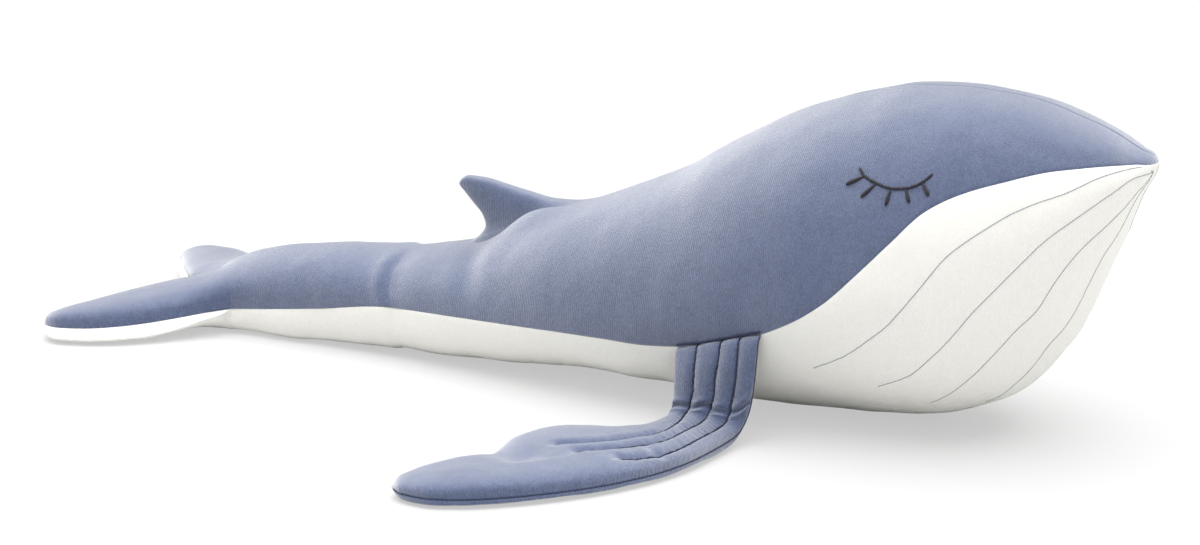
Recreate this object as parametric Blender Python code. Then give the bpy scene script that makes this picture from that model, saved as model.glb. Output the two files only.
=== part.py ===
"""Plush whale lying on its belly, in metres, +Z up, snout towards +X.

Three fabric panels make the body: a blue one on each side and an off-white one
underneath. The panels continue over the tail and the flukes. Every piece is a
fabric skin with its own filling behind it, parted where the toy bends.
"""
import math

import bmesh
import bpy
from mathutils import Vector
from mathutils.bvhtree import BVHTree

# Overall sizes
body_length = 0.861
fluke_overhang = 0.094
body_height = 0.275
body_width = 0.250
rest_flat_depth = 0.0005
rest_half_angle = math.radians(5.5)

# Cloth and clearances
fabric_thickness = 0.0015
piece_gap = 0.0003
pocket_gap = 0.0001
filling_gap = 0.0004
snout_setback = 0.0040
tip_setback = 3
tip_setback_most = 0.9
puff_power = 0.75

# Joints of the tail
tail_bend_share = 0.699
tail_bend_height_share = 0.1745
tail_bend_radius_share = 0.1855
tail_bend_facet = math.radians(21)
tail_swing_share = 0.772
tail_swing_radius_share = 0.46
tail_swing_facet = math.radians(19.5)
fluke_crease_angle = math.radians(42)

# Flukes, one on each side
fluke_crease_front = 0.044
fluke_reach = 0.132
fluke_top_height = 0.019
fluke_under_height = 0.015
fluke_seam_height = 0.021
fluke_swing = math.radians(15)

# Dorsal fin
fin_base_length = 0.092
fin_from_tail_bend = 0.022
fin_height = 0.056
fin_half_thickness = 0.009
fin_swing = math.radians(20)

# Flippers, one on each side
flipper_root_share = 0.322
flipper_root_length = 0.078
flipper_root_half_thickness = 0.0035
flipper_root_clearance = 0.0005
elbow_share = 0.335
elbow_length = 0.064
elbow_outside_body = 0.002
elbow_height = 0.015
elbow_half_thickness = 0.007
elbow_fold_up = math.radians(15)
flipper_arm_half_thickness = 0.0065
blade_reach = 0.235
blade_sweep_length = 0.186
blade_top_height = 0.016
blade_under_height = 0.0078

# Closed eyes
eye_share = 0.2085
eye_height_share = 0.8164
eye_width_share = 0.0685
lid_sag_share = 0.0418
lash_length_share = 0.0531
thread_radius = 0.0012
eye_clearance = 0.0005

# Numbers of rows and columns in the lofts
torso_rows = 12
tail_root_rows = 3
tail_rows = 5
upper_columns = 5
belly_columns = 6
level_cap_columns = 2
upright_cap_columns = 10
limb_columns = 12
fluke_columns = 6
fin_columns = 6
arm_rows = 2
nose_rows = 3
lid_steps = 9
lash_steps = 2

# Colours, as linear values
blue_knit = (0.150, 0.205, 0.370, 1.0)
white_jersey = (0.840, 0.820, 0.760, 1.0)
fibre = (0.900, 0.900, 0.880, 1.0)
eye_thread = (0.010, 0.009, 0.022, 1.0)
cloth_roughness = 0.9
fibre_roughness = 0.95
thread_roughness = 0.7

# Body sections from the stock end to the snout: place along the body, top, bottom,
# half width, height of the widest line and height of the seam. Heights are shares
# of body_height, and half widths are shares of half of body_width.
body_shares = [
    (0.000, 0.131, 0.080, 0.096, 0.105, 0.080),
    (0.010, 0.164, 0.047, 0.216, 0.105, 0.080),
    (0.029, 0.196, 0.018, 0.304, 0.109, 0.082),
    (0.059, 0.225, 0.004, 0.352, 0.120, 0.091),
    (0.094, 0.251, 0.000, 0.376, 0.135, 0.102),
    (0.164, 0.287, 0.000, 0.408, 0.149, 0.131),
    (0.245, 0.316, 0.000, 0.456, 0.160, 0.171),
    (0.315, 0.360, 0.000, 0.536, 0.178, 0.182),
    (0.373, 0.433, 0.007, 0.616, 0.196, 0.193),
    (0.419, 0.502, 0.018, 0.688, 0.218, 0.202),
    (0.489, 0.593, 0.025, 0.784, 0.247, 0.215),
    (0.547, 0.680, 0.022, 0.856, 0.276, 0.222),
    (0.594, 0.764, 0.011, 0.912, 0.313, 0.240),
    (0.652, 0.862, 0.000, 0.968, 0.356, 0.287),
    (0.710, 0.935, 0.000, 1.000, 0.400, 0.375),
    (0.739, 0.964, 0.001, 1.000, 0.425, 0.440),
    (0.768, 0.985, 0.008, 1.000, 0.451, 0.531),
    (0.797, 0.995, 0.021, 0.980, 0.484, 0.629),
    (0.826, 1.000, 0.040, 0.952, 0.516, 0.724),
    (0.855, 0.993, 0.073, 0.888, 0.556, 0.775),
    (0.884, 0.978, 0.116, 0.816, 0.600, 0.805),
    (0.930, 0.931, 0.291, 0.632, 0.684, 0.838),
    (0.965, 0.891, 0.545, 0.416, 0.756, 0.844),
    (0.986, 0.865, 0.735, 0.240, 0.800, 0.842),
    (0.9965, 0.851, 0.796, 0.112, 0.822, 0.835),
    (1.000, 0.838, 0.828, 0.012, 0.833, 0.833),
]

# The belly is squarer under the tail: the extra power of its sections, and the
# shares of the body's length where it begins and where it is full.
belly_square_power = 0.7
belly_square_shares = (0.37, 0.10)

# Columns of the belly between the seam and the edge of the flat
belly_column_shares = (0.00, 0.24, 0.46, 0.66, 0.84, 1.00)

# Fluke rows from the crease to the tip: leading edge back from the crease's front
# and out, trailing edge back from the crease's end and out, then the seam's height,
# the top's height and the underside's.
fluke_shares = [
    (0.000, 0.311, 0.000, 0.023, 1.00, 0.90, 1.00),
    (0.210, 0.495, 0.354, 0.165, 0.76, 0.86, 0.87),
    (0.430, 0.740, 0.611, 0.350, 0.63, 1.00, 0.86),
    (0.665, 0.935, 0.816, 0.580, 0.58, 0.82, 0.80),
    (0.890, 1.000, 0.941, 0.800, 0.57, 0.45, 0.50),
    (0.985, 0.945, 1.000, 0.880, 0.57, 0.05, 0.05),
]

# Fin rows from the back to the tip: rear edge and front edge as places along the
# base, then their heights over the base line, and the half thickness.
fin_shares = [
    (0.000, 1.000, 0.000, 0.000, 1.00),
    (0.020, 0.790, 0.250, 0.240, 0.90),
    (-0.030, 0.500, 0.500, 0.500, 0.72),
    (-0.110, 0.210, 0.760, 0.760, 0.50),
    (-0.220, -0.090, 0.980, 1.000, 0.10),
]

# Blade rows from the elbow to the tip: leading edge out and back, trailing edge
# out and back, then the seam's height, the top's height and the underside's.
blade_shares = [
    (0.000, 0.000, 0.000, 0.344, 1.00, 0.4375, 0.8974),
    (0.150, 0.026, 0.120, 0.370, 0.70, 0.62, 1.00),
    (0.300, 0.060, 0.200, 0.450, 0.56, 0.78, 1.00),
    (0.455, 0.121, 0.252, 0.595, 0.53, 0.92, 1.00),
    (0.617, 0.237, 0.336, 0.742, 0.53, 1.00, 1.00),
    (0.753, 0.382, 0.480, 0.808, 0.53, 1.00, 1.00),
    (0.880, 0.560, 0.650, 0.845, 0.53, 0.88, 1.00),
    (0.965, 0.725, 0.790, 0.915, 0.53, 0.66, 0.85),
    (1.000, 0.860, 0.890, 0.970, 0.53, 0.38, 0.50),
    (0.983, 0.962, 0.955, 1.000, 0.53, 0.06, 0.08),
]

# The three quilted lines lie on these columns of a flipper, and end at these rows
quilted_columns = (4, 6, 8)
quilted_end_rows = (5.5, 4.8, 4.0)
quilted_depth_share = 0.45

# Lashes: place along the lid from -1 to 1, tilt from straight down and length
lash_shares = [
    (-0.85, -1.00, 1.00),
    (-0.45, -0.65, 1.00),
    (-0.05, -0.05, 0.85),
    (0.37, 0.55, 0.72),
    (0.80, 0.68, 0.80),
]
lash_tilt = math.radians(60)

# Sizes and places worked out from the sizes, with X from the middle of the whole
# length. Places along the body are shares of its length from the snout.
overall_length = body_length + fluke_overhang
snout_x = overall_length / 2
stock_end_x = snout_x - body_length
tail_bend_x = snout_x - body_length * tail_bend_share
tail_bend_height = body_height * tail_bend_height_share
tail_bend_radius = body_height * tail_bend_radius_share
tail_swing_x = snout_x - body_length * tail_swing_share
tail_swing_radius = body_width / 2 * tail_swing_radius_share
fluke_front_x = stock_end_x + fluke_crease_front
fluke_length = fluke_crease_front + fluke_overhang
flipper_root_front_x = snout_x - body_length * flipper_root_share
elbow_front_x = snout_x - body_length * elbow_share
elbow_out = body_width / 2 + elbow_outside_body
eye_x = snout_x - body_length * eye_share
eye_height = body_height * eye_height_share
eye_width = body_length * eye_width_share
lid_sag = body_height * lid_sag_share
lash_length = body_height * lash_length_share
RIGHT = -1
LEFT = 1


def smooth_value(places, values, place):
    """Read a smooth curve through the values, one that never overshoots them."""
    last = len(places) - 2
    index = 0
    while index < last and place > places[index + 1]:
        index += 1
    steps = [places[i + 1] - places[i] for i in range(len(places) - 1)]
    rises = [(values[i + 1] - values[i]) / steps[i] for i in range(len(steps))]

    def slope(i):
        if i == 0:
            return rises[0]
        if i == len(rises):
            return rises[-1]
        if rises[i - 1] * rises[i] <= 0:
            return 0.0
        before = 2 * steps[i] + steps[i - 1]
        after = steps[i] + 2 * steps[i - 1]
        return (before + after) / (before / rises[i - 1] + after / rises[i])

    width = steps[index]
    u = min(max((place - places[index]) / width, 0.0), 1.0)
    low, high = values[index], values[index + 1]
    return (
        low * (1 + 2 * u) * (1 - u) ** 2
        + high * u * u * (3 - 2 * u)
        + width * slope(index) * u * (1 - u) ** 2
        + width * slope(index + 1) * u * u * (u - 1)
    )


body_places = [row[0] for row in body_shares]
body_columns = [[row[i] for row in body_shares] for i in range(1, 6)]
section_store = {}


def body_section(x):
    """Top, bottom, half width, widest height, seam height and belly power at x."""
    key = round(x, 7)
    if key not in section_store:
        along = (x - stock_end_x) / body_length
        top, bottom, half, widest, seam = (
            smooth_value(body_places, column, along) for column in body_columns
        )
        begin, full = belly_square_shares
        squareness = min(max((begin - along) / (begin - full), 0.0), 1.0)
        section_store[key] = (
            top * body_height,
            bottom * body_height - rest_flat_depth,
            half * body_width / 2,
            widest * body_height,
            seam * body_height,
            2 + belly_square_power * squareness,
        )
    return section_store[key]


def seam_angle(x):
    """Angle at which the seam runs, seen from the widest line of the section."""
    top, bottom, half, widest, seam, power = body_section(x)
    if seam >= widest:
        return math.asin(min((seam - widest) / (top - widest), 1.0))
    share = (widest - seam) / (widest - bottom)
    return -math.asin(share ** (power / 2))


def body_surface(x, angle):
    """A point of the uncut body surface on the left side, from 90 to -90 degrees."""
    top, bottom, half, widest, seam, power = body_section(x)
    sine = math.sin(angle)
    cosine = math.cos(angle)
    if sine >= 0:
        return Vector((x, half * cosine, widest + (top - widest) * sine))
    y = math.copysign(half * abs(cosine) ** (2 / power), cosine)
    return Vector((x, y, widest - (widest - bottom) * abs(sine) ** (2 / power)))


def body_point(x, angle, depth):
    """The body surface moved inwards by a depth and cut flat where it lies."""
    small_x = body_length / 4000
    small_angle = math.radians(0.2)
    along = body_surface(x + small_x, angle) - body_surface(x - small_x, angle)
    around = body_surface(x, angle + small_angle) - body_surface(x, angle - small_angle)
    outward = around.cross(along)
    outward.normalize()
    point = body_surface(x, angle)
    if outward.dot(point - Vector((x, 0.0, body_section(x)[3]))) < 0:
        outward.negate()
    point -= outward * depth
    point.z = max(point.z, depth)
    return point


def trimmed_angle(x, angle, trim):
    """The angle moved along the section by a length, up where it is positive."""
    step = math.radians(0.5)
    speed = (body_surface(x, angle + step) - body_surface(x, angle - step)).length
    return angle + trim * 2 * step / speed


def upper_angle(x, column, trim):
    """Angle of a column of an upper panel, from the back to the seam."""
    back = math.pi / 2
    edge = seam_angle(x)
    if column == 0:
        return trimmed_angle(x, back, -trim)
    if column == upper_columns:
        return trimmed_angle(x, edge, trim)
    return back + (edge - back) * column / upper_columns


def lower_angle(x, column, trim):
    """Angle of a column of the belly, from the seam to the middle underneath. The
    last column but one runs along the edge of the flat on which the whale lies."""
    edge = seam_angle(x)
    if column == 0:
        return trimmed_angle(x, edge, -trim)
    low = -math.pi / 2
    if column == belly_columns:
        return low
    return edge + (low + rest_half_angle - edge) * belly_column_shares[column]


def upper_line(column, trim):
    return lambda x: upper_angle(x, column, trim)


def lower_line(column, trim):
    return lambda x: lower_angle(x, column, trim)


def pocket(radius, facet):
    """Radius of a pocket with facets this wide that clears a knuckle all over."""
    return radius / math.cos(facet / 2) + pocket_gap


def level_knuckle(radius):
    """Round end about the level axis of the tail bend."""

    def end_x(point):
        room = radius ** 2 - (point.z - tail_bend_height) ** 2
        return tail_bend_x + math.sqrt(max(room, 0.0))

    return end_x


def upright_knuckle(radius):
    """Round end about the upright axis of the tail swing."""

    def end_x(point):
        room = radius ** 2 - point.y ** 2
        return tail_swing_x + math.sqrt(max(room, 0.0))

    return end_x


def fluke_creases(point):
    """The two flat faces that meet at the stock's end and carry the flukes."""
    return stock_end_x + abs(point.y) / math.tan(fluke_crease_angle)


def where_cut(line, depth, end_x):
    """Find x where a line of the surface at this depth meets the end's shape."""
    low = stock_end_x
    high = snout_x - snout_setback
    for _ in range(32):
        middle = (low + high) / 2
        point = body_point(middle, line(middle), depth)
        if point.x < end_x(point):
            low = middle
        else:
            high = middle
    return (low + high) / 2


def spread(row, rows, nose):
    """Share of the way from the rear end to the front end, closer at the snout."""
    share = row / rows
    if nose:
        return math.sin(share * math.pi / 2)
    return share


def body_line(line, depth, rear, front, rows):
    """One lengthwise line of points of a body segment, from rear to front."""
    rear_x = where_cut(line, depth, rear)
    front_x = snout_x - snout_setback * depth / fabric_thickness
    if front is not None:
        front_x = where_cut(line, depth, front)
    points = []
    for row in range(rows + 1):
        x = rear_x + (front_x - rear_x) * spread(row, rows, front is None)
        points.append(body_point(x, line(x), depth))
    return points


def mirrored(points, side):
    """The points of the left side, or their mirror image on the right."""
    return [Vector((p.x, p.y * side, p.z)) for p in points]


def material(name, colour, roughness):
    """A plain material of one colour."""
    made = bpy.data.materials.new(name)
    made.use_nodes = True
    shader = made.node_tree.nodes["Principled BSDF"]
    shader.inputs["Base Color"].default_value = colour
    shader.inputs["Roughness"].default_value = roughness
    shader.inputs["Metallic"].default_value = 0.0
    made.diffuse_color = colour
    return made


def add_object(name, mesh_data, colour, roughness, origin):
    """Place a closed mesh as a named part, with its origin on its joint."""
    bmesh.ops.recalc_face_normals(mesh_data, faces=mesh_data.faces)
    bmesh.ops.translate(mesh_data, verts=mesh_data.verts, vec=-origin)
    mesh = bpy.data.meshes.new(name)
    mesh_data.to_mesh(mesh)
    mesh_data.free()
    mesh.materials.append(material(name, colour, roughness))
    mesh.shade_smooth()
    mesh.set_sharp_from_angle(angle=math.radians(40))
    part = bpy.data.objects.new(name, mesh)
    part.location = origin
    parts.objects.link(part)
    return part


def add_triangles(target, a, b, c, d, turned=False):
    """Fill a quad with two triangles, leaving out one that has no width."""
    halves = ((a, b, c), (a, c, d))
    if turned:
        halves = ((b, c, d), (b, d, a))
    for corners in halves:
        if len(set(corners)) == 3:
            target.faces.new(corners)


def shell(name, outer, inner, colour, origin, turn_at=None):
    """A skin of cloth between two grids of points with the same lines. From the line
    turn_at on, the diagonals run the other way, so that both sides mirror."""
    skin = bmesh.new()
    faces = [[[skin.verts.new(p) for p in line] for line in grid] for grid in (outer, inner)]
    rows = len(outer)
    columns = len(outer[0])
    for verts in faces:
        for i in range(rows - 1):
            for j in range(columns - 1):
                turned = turn_at is not None and i >= turn_at
                corners = (verts[i][j], verts[i][j + 1], verts[i + 1][j + 1], verts[i + 1][j])
                add_triangles(skin, *corners, turned)
    rim = [(i, 0) for i in range(rows)]
    rim += [(rows - 1, j) for j in range(1, columns)]
    rim += [(i, columns - 1) for i in range(rows - 2, -1, -1)]
    rim += [(0, j) for j in range(columns - 2, 0, -1)]
    for place, (i, j) in enumerate(rim):
        k, m = rim[(place + 1) % len(rim)]
        corners = (faces[0][i][j], faces[0][k][m], faces[1][k][m], faces[1][i][j])
        add_triangles(skin, *corners, k + m < i + j)
    return add_object(name, skin, colour, cloth_roughness, origin)


def filling(name, rings, caps, origin):
    """A closed stuffed form. Each ring starts at one pole and passes the other one
    half way round. The caps run from each point to the one opposite, and need no
    points of their own along the edge of a flat underneath."""
    body = bmesh.new()
    verts = [[body.verts.new(p) for p in ring] for ring in rings]
    count = len(rings[0])
    for i in range(len(rings) - 1):
        for j in range(count):
            k = (j + 1) % count
            corners = (verts[i][j], verts[i][k], verts[i + 1][k], verts[i + 1][j])
            add_triangles(body, *corners, j >= count // 2)
    half = count // 2
    for ring, ring_verts, (steps, shape) in zip((rings[0], rings[-1]), (verts[0], verts[-1]), caps):
        poles = (ring[0], ring[half])
        lines = [[ring_verts[0]] * (steps + 1)]
        for j in range(1, half):
            pair = (ring[j], ring[count - j])
            ends = (ring_verts[j], ring_verts[count - j])
            if j == half - 1 and ring[j].z == ring[half].z:
                share = steps // 2
                lines.append([ends[0]] * share + [ring_verts[half]] + [ends[1]] * share)
                continue
            across = [shape(*pair, step / steps, poles, j / half) for step in range(1, steps)]
            made = [body.verts.new(p) for p in across]
            lines.append([ends[0]] + made + [ends[1]])
        lines.append([ring_verts[half]] * (steps + 1))
        for line, following in zip(lines, lines[1:]):
            for k in range(steps):
                add_triangles(body, line[k], line[k + 1], following[k + 1], following[k])
    return add_object(name, body, fibre, fibre_roughness, origin)


def straight(first, last, share, poles, place):
    """The plain way across an end."""
    return first.lerp(last, share)


def over_body_end(end_x):
    """The way across a body segment's end, on the surface of its joint."""

    def shape(first, last, share, poles, place):
        point = first.lerp(last, (1 - math.cos(math.pi * share)) / 2)
        point.x = end_x(point)
        return point

    return shape


def stock_ridge(first, last, share, poles, place):
    """The way across the stock's end, over the ridge between its two creases."""
    return poles[0].lerp(poles[1], place)


def body_segment(names, rows, rear, front, rear_cap, front_cap, origin):
    """Two upper panels, a belly panel and the filling of one length of the body."""
    depths = (0.0, fabric_thickness)
    half_gap = piece_gap / 2
    upper = [
        [body_line(upper_line(c, half_gap), depth, rear, front, rows) for c in range(upper_columns + 1)]
        for depth in depths
    ]
    for side, name in ((RIGHT, names[0]), (LEFT, names[1])):
        grids = [[mirrored(line, side) for line in grid] for grid in upper]
        shell(name, grids[0], grids[1], blue_knit, origin)
    lower = [
        [body_line(lower_line(c, half_gap), depth, rear, front, rows) for c in range(belly_columns + 1)]
        for depth in depths
    ]
    grids = []
    for grid in lower:
        right = [mirrored(line, RIGHT) for line in grid]
        left = [mirrored(line, LEFT) for line in grid[-2::-1]]
        grids.append(right + left)
    shell(names[2], grids[0], grids[1], white_jersey, origin, belly_columns)
    depth = fabric_thickness + filling_gap
    lines = [body_line(upper_line(c, 0.0), depth, rear, front, rows) for c in range(upper_columns + 1)]
    lines += [body_line(lower_line(c, 0.0), depth, rear, front, rows) for c in range(1, belly_columns + 1)]
    rings = []
    for row in range(rows + 1):
        left = [line[row] for line in lines]
        rings.append(left + mirrored(left[-2:0:-1], RIGHT))
    filling(names[3], rings, (rear_cap, front_cap), origin)
    return [line[0].copy() for line in zip(*upper[0])]


def puff(column, columns):
    """Height of a stuffed section over its seam, as a share, and its place across."""
    turn = math.pi * column / columns
    return math.sin(turn) ** puff_power, (1 - math.cos(turn)) / 2


def section_point(edges, normal, height, column, columns, depth, pinch):
    """A point of a limb's section between its two seamed edges."""
    share, across = puff(column, columns)
    first, last = edges
    inset = (last - first).normalized() * depth
    flat = (first + inset).lerp(last - inset, across)
    rise = max(height - depth, 0.0) * share * pinch
    return flat + normal * rise


def quilted(row, column):
    """How far a flipper is drawn in at a row and a column by its quilted lines."""
    if column not in quilted_columns:
        return 1.0
    end = quilted_end_rows[quilted_columns.index(column)]
    fade = min(max((end - row) / 2, 0.0), 1.0)
    return 1 - quilted_depth_share * fade


def limb(names, rows_at, columns, pinched, fitted, caps, colours, floor, origin):
    """Two skins sewn together at their edges, with a filling between them.

    rows_at(place) gives the edges, normal, upper and lower height at a row, and
    fitted(row, point, rise) moves the points of an end row to the joint's shape."""
    count = rows_at.count

    def grid(up, depth, lift):
        lines = []
        for row in range(count + 1):
            edges, normal, heights = rows_at(row, depth)
            height = heights[0] if up else heights[1]
            sign = 1 if up else -1
            line = []
            for column in range(columns + 1):
                pinch = pinched(row, column)
                point = section_point(edges, normal * sign, height, column, columns, depth, pinch)
                point += normal * sign * lift
                middle = section_point(edges, normal, 0.0, column, columns, depth, 1.0)
                point = fitted(row, point, (point - middle).dot(normal))
                if floor:
                    point.z = max(point.z, depth)
                line.append(point)
            lines.append(line)
        return lines

    half_gap = piece_gap / 2
    for up, name, colour in ((True, names[0], colours[0]), (False, names[1], colours[1])):
        outer = grid(up, 0.0, half_gap)
        inner = grid(up, fabric_thickness, half_gap)
        shell(name, outer, inner, colour, origin)
    depth = fabric_thickness + filling_gap
    upper = grid(True, depth, 0.0)
    lower = grid(False, depth, 0.0)
    edges, normal, heights = rows_at(count, depth)
    if heights[0] == 0:
        for column in range(1, columns):
            upper[-1][column] += normal * half_gap
    rings = [top + bottom[-2:0:-1] for top, bottom in zip(upper, lower)]
    filling(names[2], rings, caps, origin)


class Rows:
    """The rows of a limb, read from its table of shares."""

    def __init__(self, table, reader):
        self.count = len(table) - 1
        self.table = table
        self.reader = reader

    def __call__(self, row, depth):
        shares = self.table[row]
        if row == self.count and depth > 0:
            before = self.table[row - 1]
            first, second = self.reader(before)[0], self.reader(shares)[0]
            length = ((first[0] + first[1]) - (second[0] + second[1])).length / 2
            back = min(tip_setback * depth / length, tip_setback_most)
            shares = [now + (then - now) * back for now, then in zip(shares, before)]
            edges, normal, heights = self.reader(shares)
            return edges, normal, (0.0, 0.0)
        return self.reader(shares)


def no_pinch(row, column):
    return 1.0


def flukes(side, word):
    """One fluke: blue on top and white underneath, hinged on its crease."""

    def reader(shares):
        lead_back, lead_out, trail_back, trail_out, seam, top, under = shares
        z = seam * fluke_seam_height
        lead = Vector((fluke_front_x - lead_back * fluke_length, side * lead_out * fluke_reach, z))
        trail = Vector((stock_end_x - trail_back * fluke_overhang, side * trail_out * fluke_reach, z))
        return (lead, trail), Vector((0, 0, 1)), (top * fluke_top_height, under * fluke_under_height)

    sine = math.sin(fluke_crease_angle)
    cosine = math.cos(fluke_crease_angle)
    outward = Vector((-sine, side * cosine, 0.0))
    crease_point = Vector((stock_end_x, 0.0, fluke_seam_height))

    def fitted(row, point, rise):
        if row > 0:
            return point
        stand = (point - crease_point).dot(outward)
        wanted = piece_gap + abs(rise) * math.tan(fluke_swing)
        return point + outward * (wanted - stand)

    def ridge(first, last, share, poles, place):
        point = first.lerp(last, share)
        point.z = fluke_seam_height
        stand = (point - crease_point).dot(outward)
        return point + outward * (piece_gap - stand)

    along = Vector((cosine, side * sine, 0.0))
    origin = crease_point + along * fluke_crease_front / cosine / 2
    names = ["fluke_top_" + word, "fluke_underside_" + word, "fluke_filling_" + word]
    limb(
        names, Rows(fluke_shares, reader), fluke_columns, no_pinch, fitted,
        ((2, ridge), (1, straight)), (blue_knit, white_jersey), True, origin,
    )


def dorsal_fin(back_line):
    """The fin over the back: two skins that end on a ridge along its base."""
    rear_x = tail_bend_x + fin_from_tail_bend

    def back_height(x):
        for first, second in zip(back_line, back_line[1:]):
            if first.x <= x <= second.x:
                return first.z + (second.z - first.z) * (x - first.x) / (second.x - first.x)
        return back_line[-1].z

    base = [Vector((x, 0.0, back_height(x))) for x in (rear_x, rear_x + fin_base_length)]
    direction = (base[1] - base[0]).normalized()
    up = Vector((-direction.z, 0.0, direction.x))

    def reader(shares):
        rear, front, rear_height, front_height, thick = shares
        edges = [
            base[0].lerp(base[1], rear) + up * rear_height * fin_height * direction.x,
            base[0].lerp(base[1], front) + up * front_height * fin_height * direction.x,
        ]
        half = thick * fin_half_thickness
        return tuple(edges), Vector((0, -1, 0)), (half, half)

    def fitted(row, point, rise):
        if row == 0:
            point.z = back_height(point.x) + piece_gap + abs(rise) * math.tan(fin_swing)
        return point

    def ridge(first, last, share, poles, place):
        point = first.lerp(last, share)
        point.z = back_height(point.x) + piece_gap
        return point

    names = ["fin_skin_right", "fin_skin_left", "fin_filling"]
    origin = base[0].lerp(base[1], 0.5)
    limb(
        names, Rows(fin_shares, reader), fin_columns, no_pinch, fitted,
        ((2, ridge), (1, straight)), (blue_knit, blue_knit), False, origin,
    )


def flipper_root(side):
    """The two ends of the line on which a flipper hangs, outside the seam."""
    ends = []
    for x in (flipper_root_front_x - flipper_root_length, flipper_root_front_x):
        seam = body_surface(x, seam_angle(x))
        out = seam.y + flipper_root_half_thickness + flipper_root_clearance
        ends.append(Vector((x, side * out, seam.z)))
    return ends


def elbow(side):
    """The two ends of the elbow's axis."""
    return [
        Vector((elbow_front_x - elbow_length, side * elbow_out, elbow_height)),
        Vector((elbow_front_x, side * elbow_out, elbow_height)),
    ]


def flipper_arm(side, word):
    """The upper part of a flipper, which hangs from the seam."""
    top = flipper_root(side)
    low = elbow(side)
    outward = Vector((0, side, 0))
    drop = Vector((0, 0, elbow_half_thickness + piece_gap))
    table = [[row / arm_rows] for row in range(arm_rows + 1)]

    def reader(shares):
        place = shares[0]
        bow = math.sin(math.pi * place / 2)
        edges = []
        for begin, end in zip(top, low):
            point = begin.lerp(end + drop, place)
            point.y = begin.y + (end.y - begin.y) * bow
            edges.append(point)
        full = flipper_arm_half_thickness - flipper_root_half_thickness
        half = flipper_root_half_thickness + full * math.sin(math.pi * min(place * 2, 1) / 2)
        return tuple(edges), outward, (half, half)

    class ArmRows(Rows):
        def __call__(self, row, depth):
            return self.reader(self.table[row])

    def pinched(row, column):
        return quilted(0, column)

    def lower_end(rise):
        reach = elbow_half_thickness + max(rise, 0.0) * math.sin(elbow_fold_up)
        return elbow_height + reach / math.cos(elbow_fold_up) + piece_gap

    def fitted(row, point, rise):
        if row == arm_rows:
            point.z = lower_end(rise)
        return point

    def over_elbow(first, last, share, poles, place):
        point = first.lerp(last, share)
        point.z = lower_end((point.y - side * elbow_out) * side)
        return point

    names = ["flipper_arm_outer_" + word, "flipper_arm_inner_" + word, "flipper_arm_filling_" + word]
    origin = top[0].lerp(top[1], 0.5)
    limb(
        names, ArmRows(table, reader), limb_columns, pinched, fitted,
        ((1, straight), (2, over_elbow)), (blue_knit, blue_knit), False, origin,
    )


def flipper_blade(side, word):
    """The part of a flipper that lies on the ground, hinged at the elbow."""
    rear, front = elbow(side)

    def reader(shares):
        lead_out, lead_back, trail_out, trail_back, seam, top, under = shares
        z = seam * elbow_height
        lead = Vector((front.x - lead_back * blade_sweep_length, side * (elbow_out + lead_out * blade_reach), z))
        trail = Vector((front.x - trail_back * blade_sweep_length, side * (elbow_out + trail_out * blade_reach), z))
        heights = (top * blade_top_height, under * blade_under_height)
        return (trail, lead), Vector((0, 0, 1)), heights

    def nose(first, last, share, poles, place):
        centre = first.lerp(last, 0.5)
        radius = (last - first).length / 2
        turn = math.pi * share
        return centre + Vector((0, -side * math.sin(turn), math.cos(turn))) * radius

    def fitted(row, point, rise):
        return point

    names = ["flipper_blade_top_" + word, "flipper_blade_underside_" + word, "flipper_blade_filling_" + word]
    limb(
        names, Rows(blade_shares, reader), limb_columns, quilted, fitted,
        ((nose_rows, nose), (1, straight)), (blue_knit, blue_knit), True, rear.lerp(front, 0.5),
    )


def thread_tube(name, points):
    """One line of raised stitches as a closed tube."""
    curve = bpy.data.curves.new(name, "CURVE")
    curve.dimensions = "3D"
    curve.bevel_depth = thread_radius
    curve.bevel_resolution = 1
    curve.use_fill_caps = True
    line = curve.splines.new("POLY")
    line.points.add(len(points) - 1)
    for target, point in zip(line.points, points):
        target.co = (*point, 1.0)
    tube = bpy.data.objects.new(name, curve)
    parts.objects.link(tube)
    graph = bpy.context.evaluated_depsgraph_get()
    mesh = bpy.data.meshes.new_from_object(tube.evaluated_get(graph))
    welded = bmesh.new()
    welded.from_mesh(mesh)
    bmesh.ops.remove_doubles(welded, verts=welded.verts, dist=thread_radius / 50)
    bmesh.ops.recalc_face_normals(welded, faces=welded.faces)
    welded.to_mesh(mesh)
    welded.free()
    place = tube.matrix_world.copy()
    bpy.data.objects.remove(tube)
    made = bpy.data.objects.new(name, mesh)
    made.matrix_world = place
    return made


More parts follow.
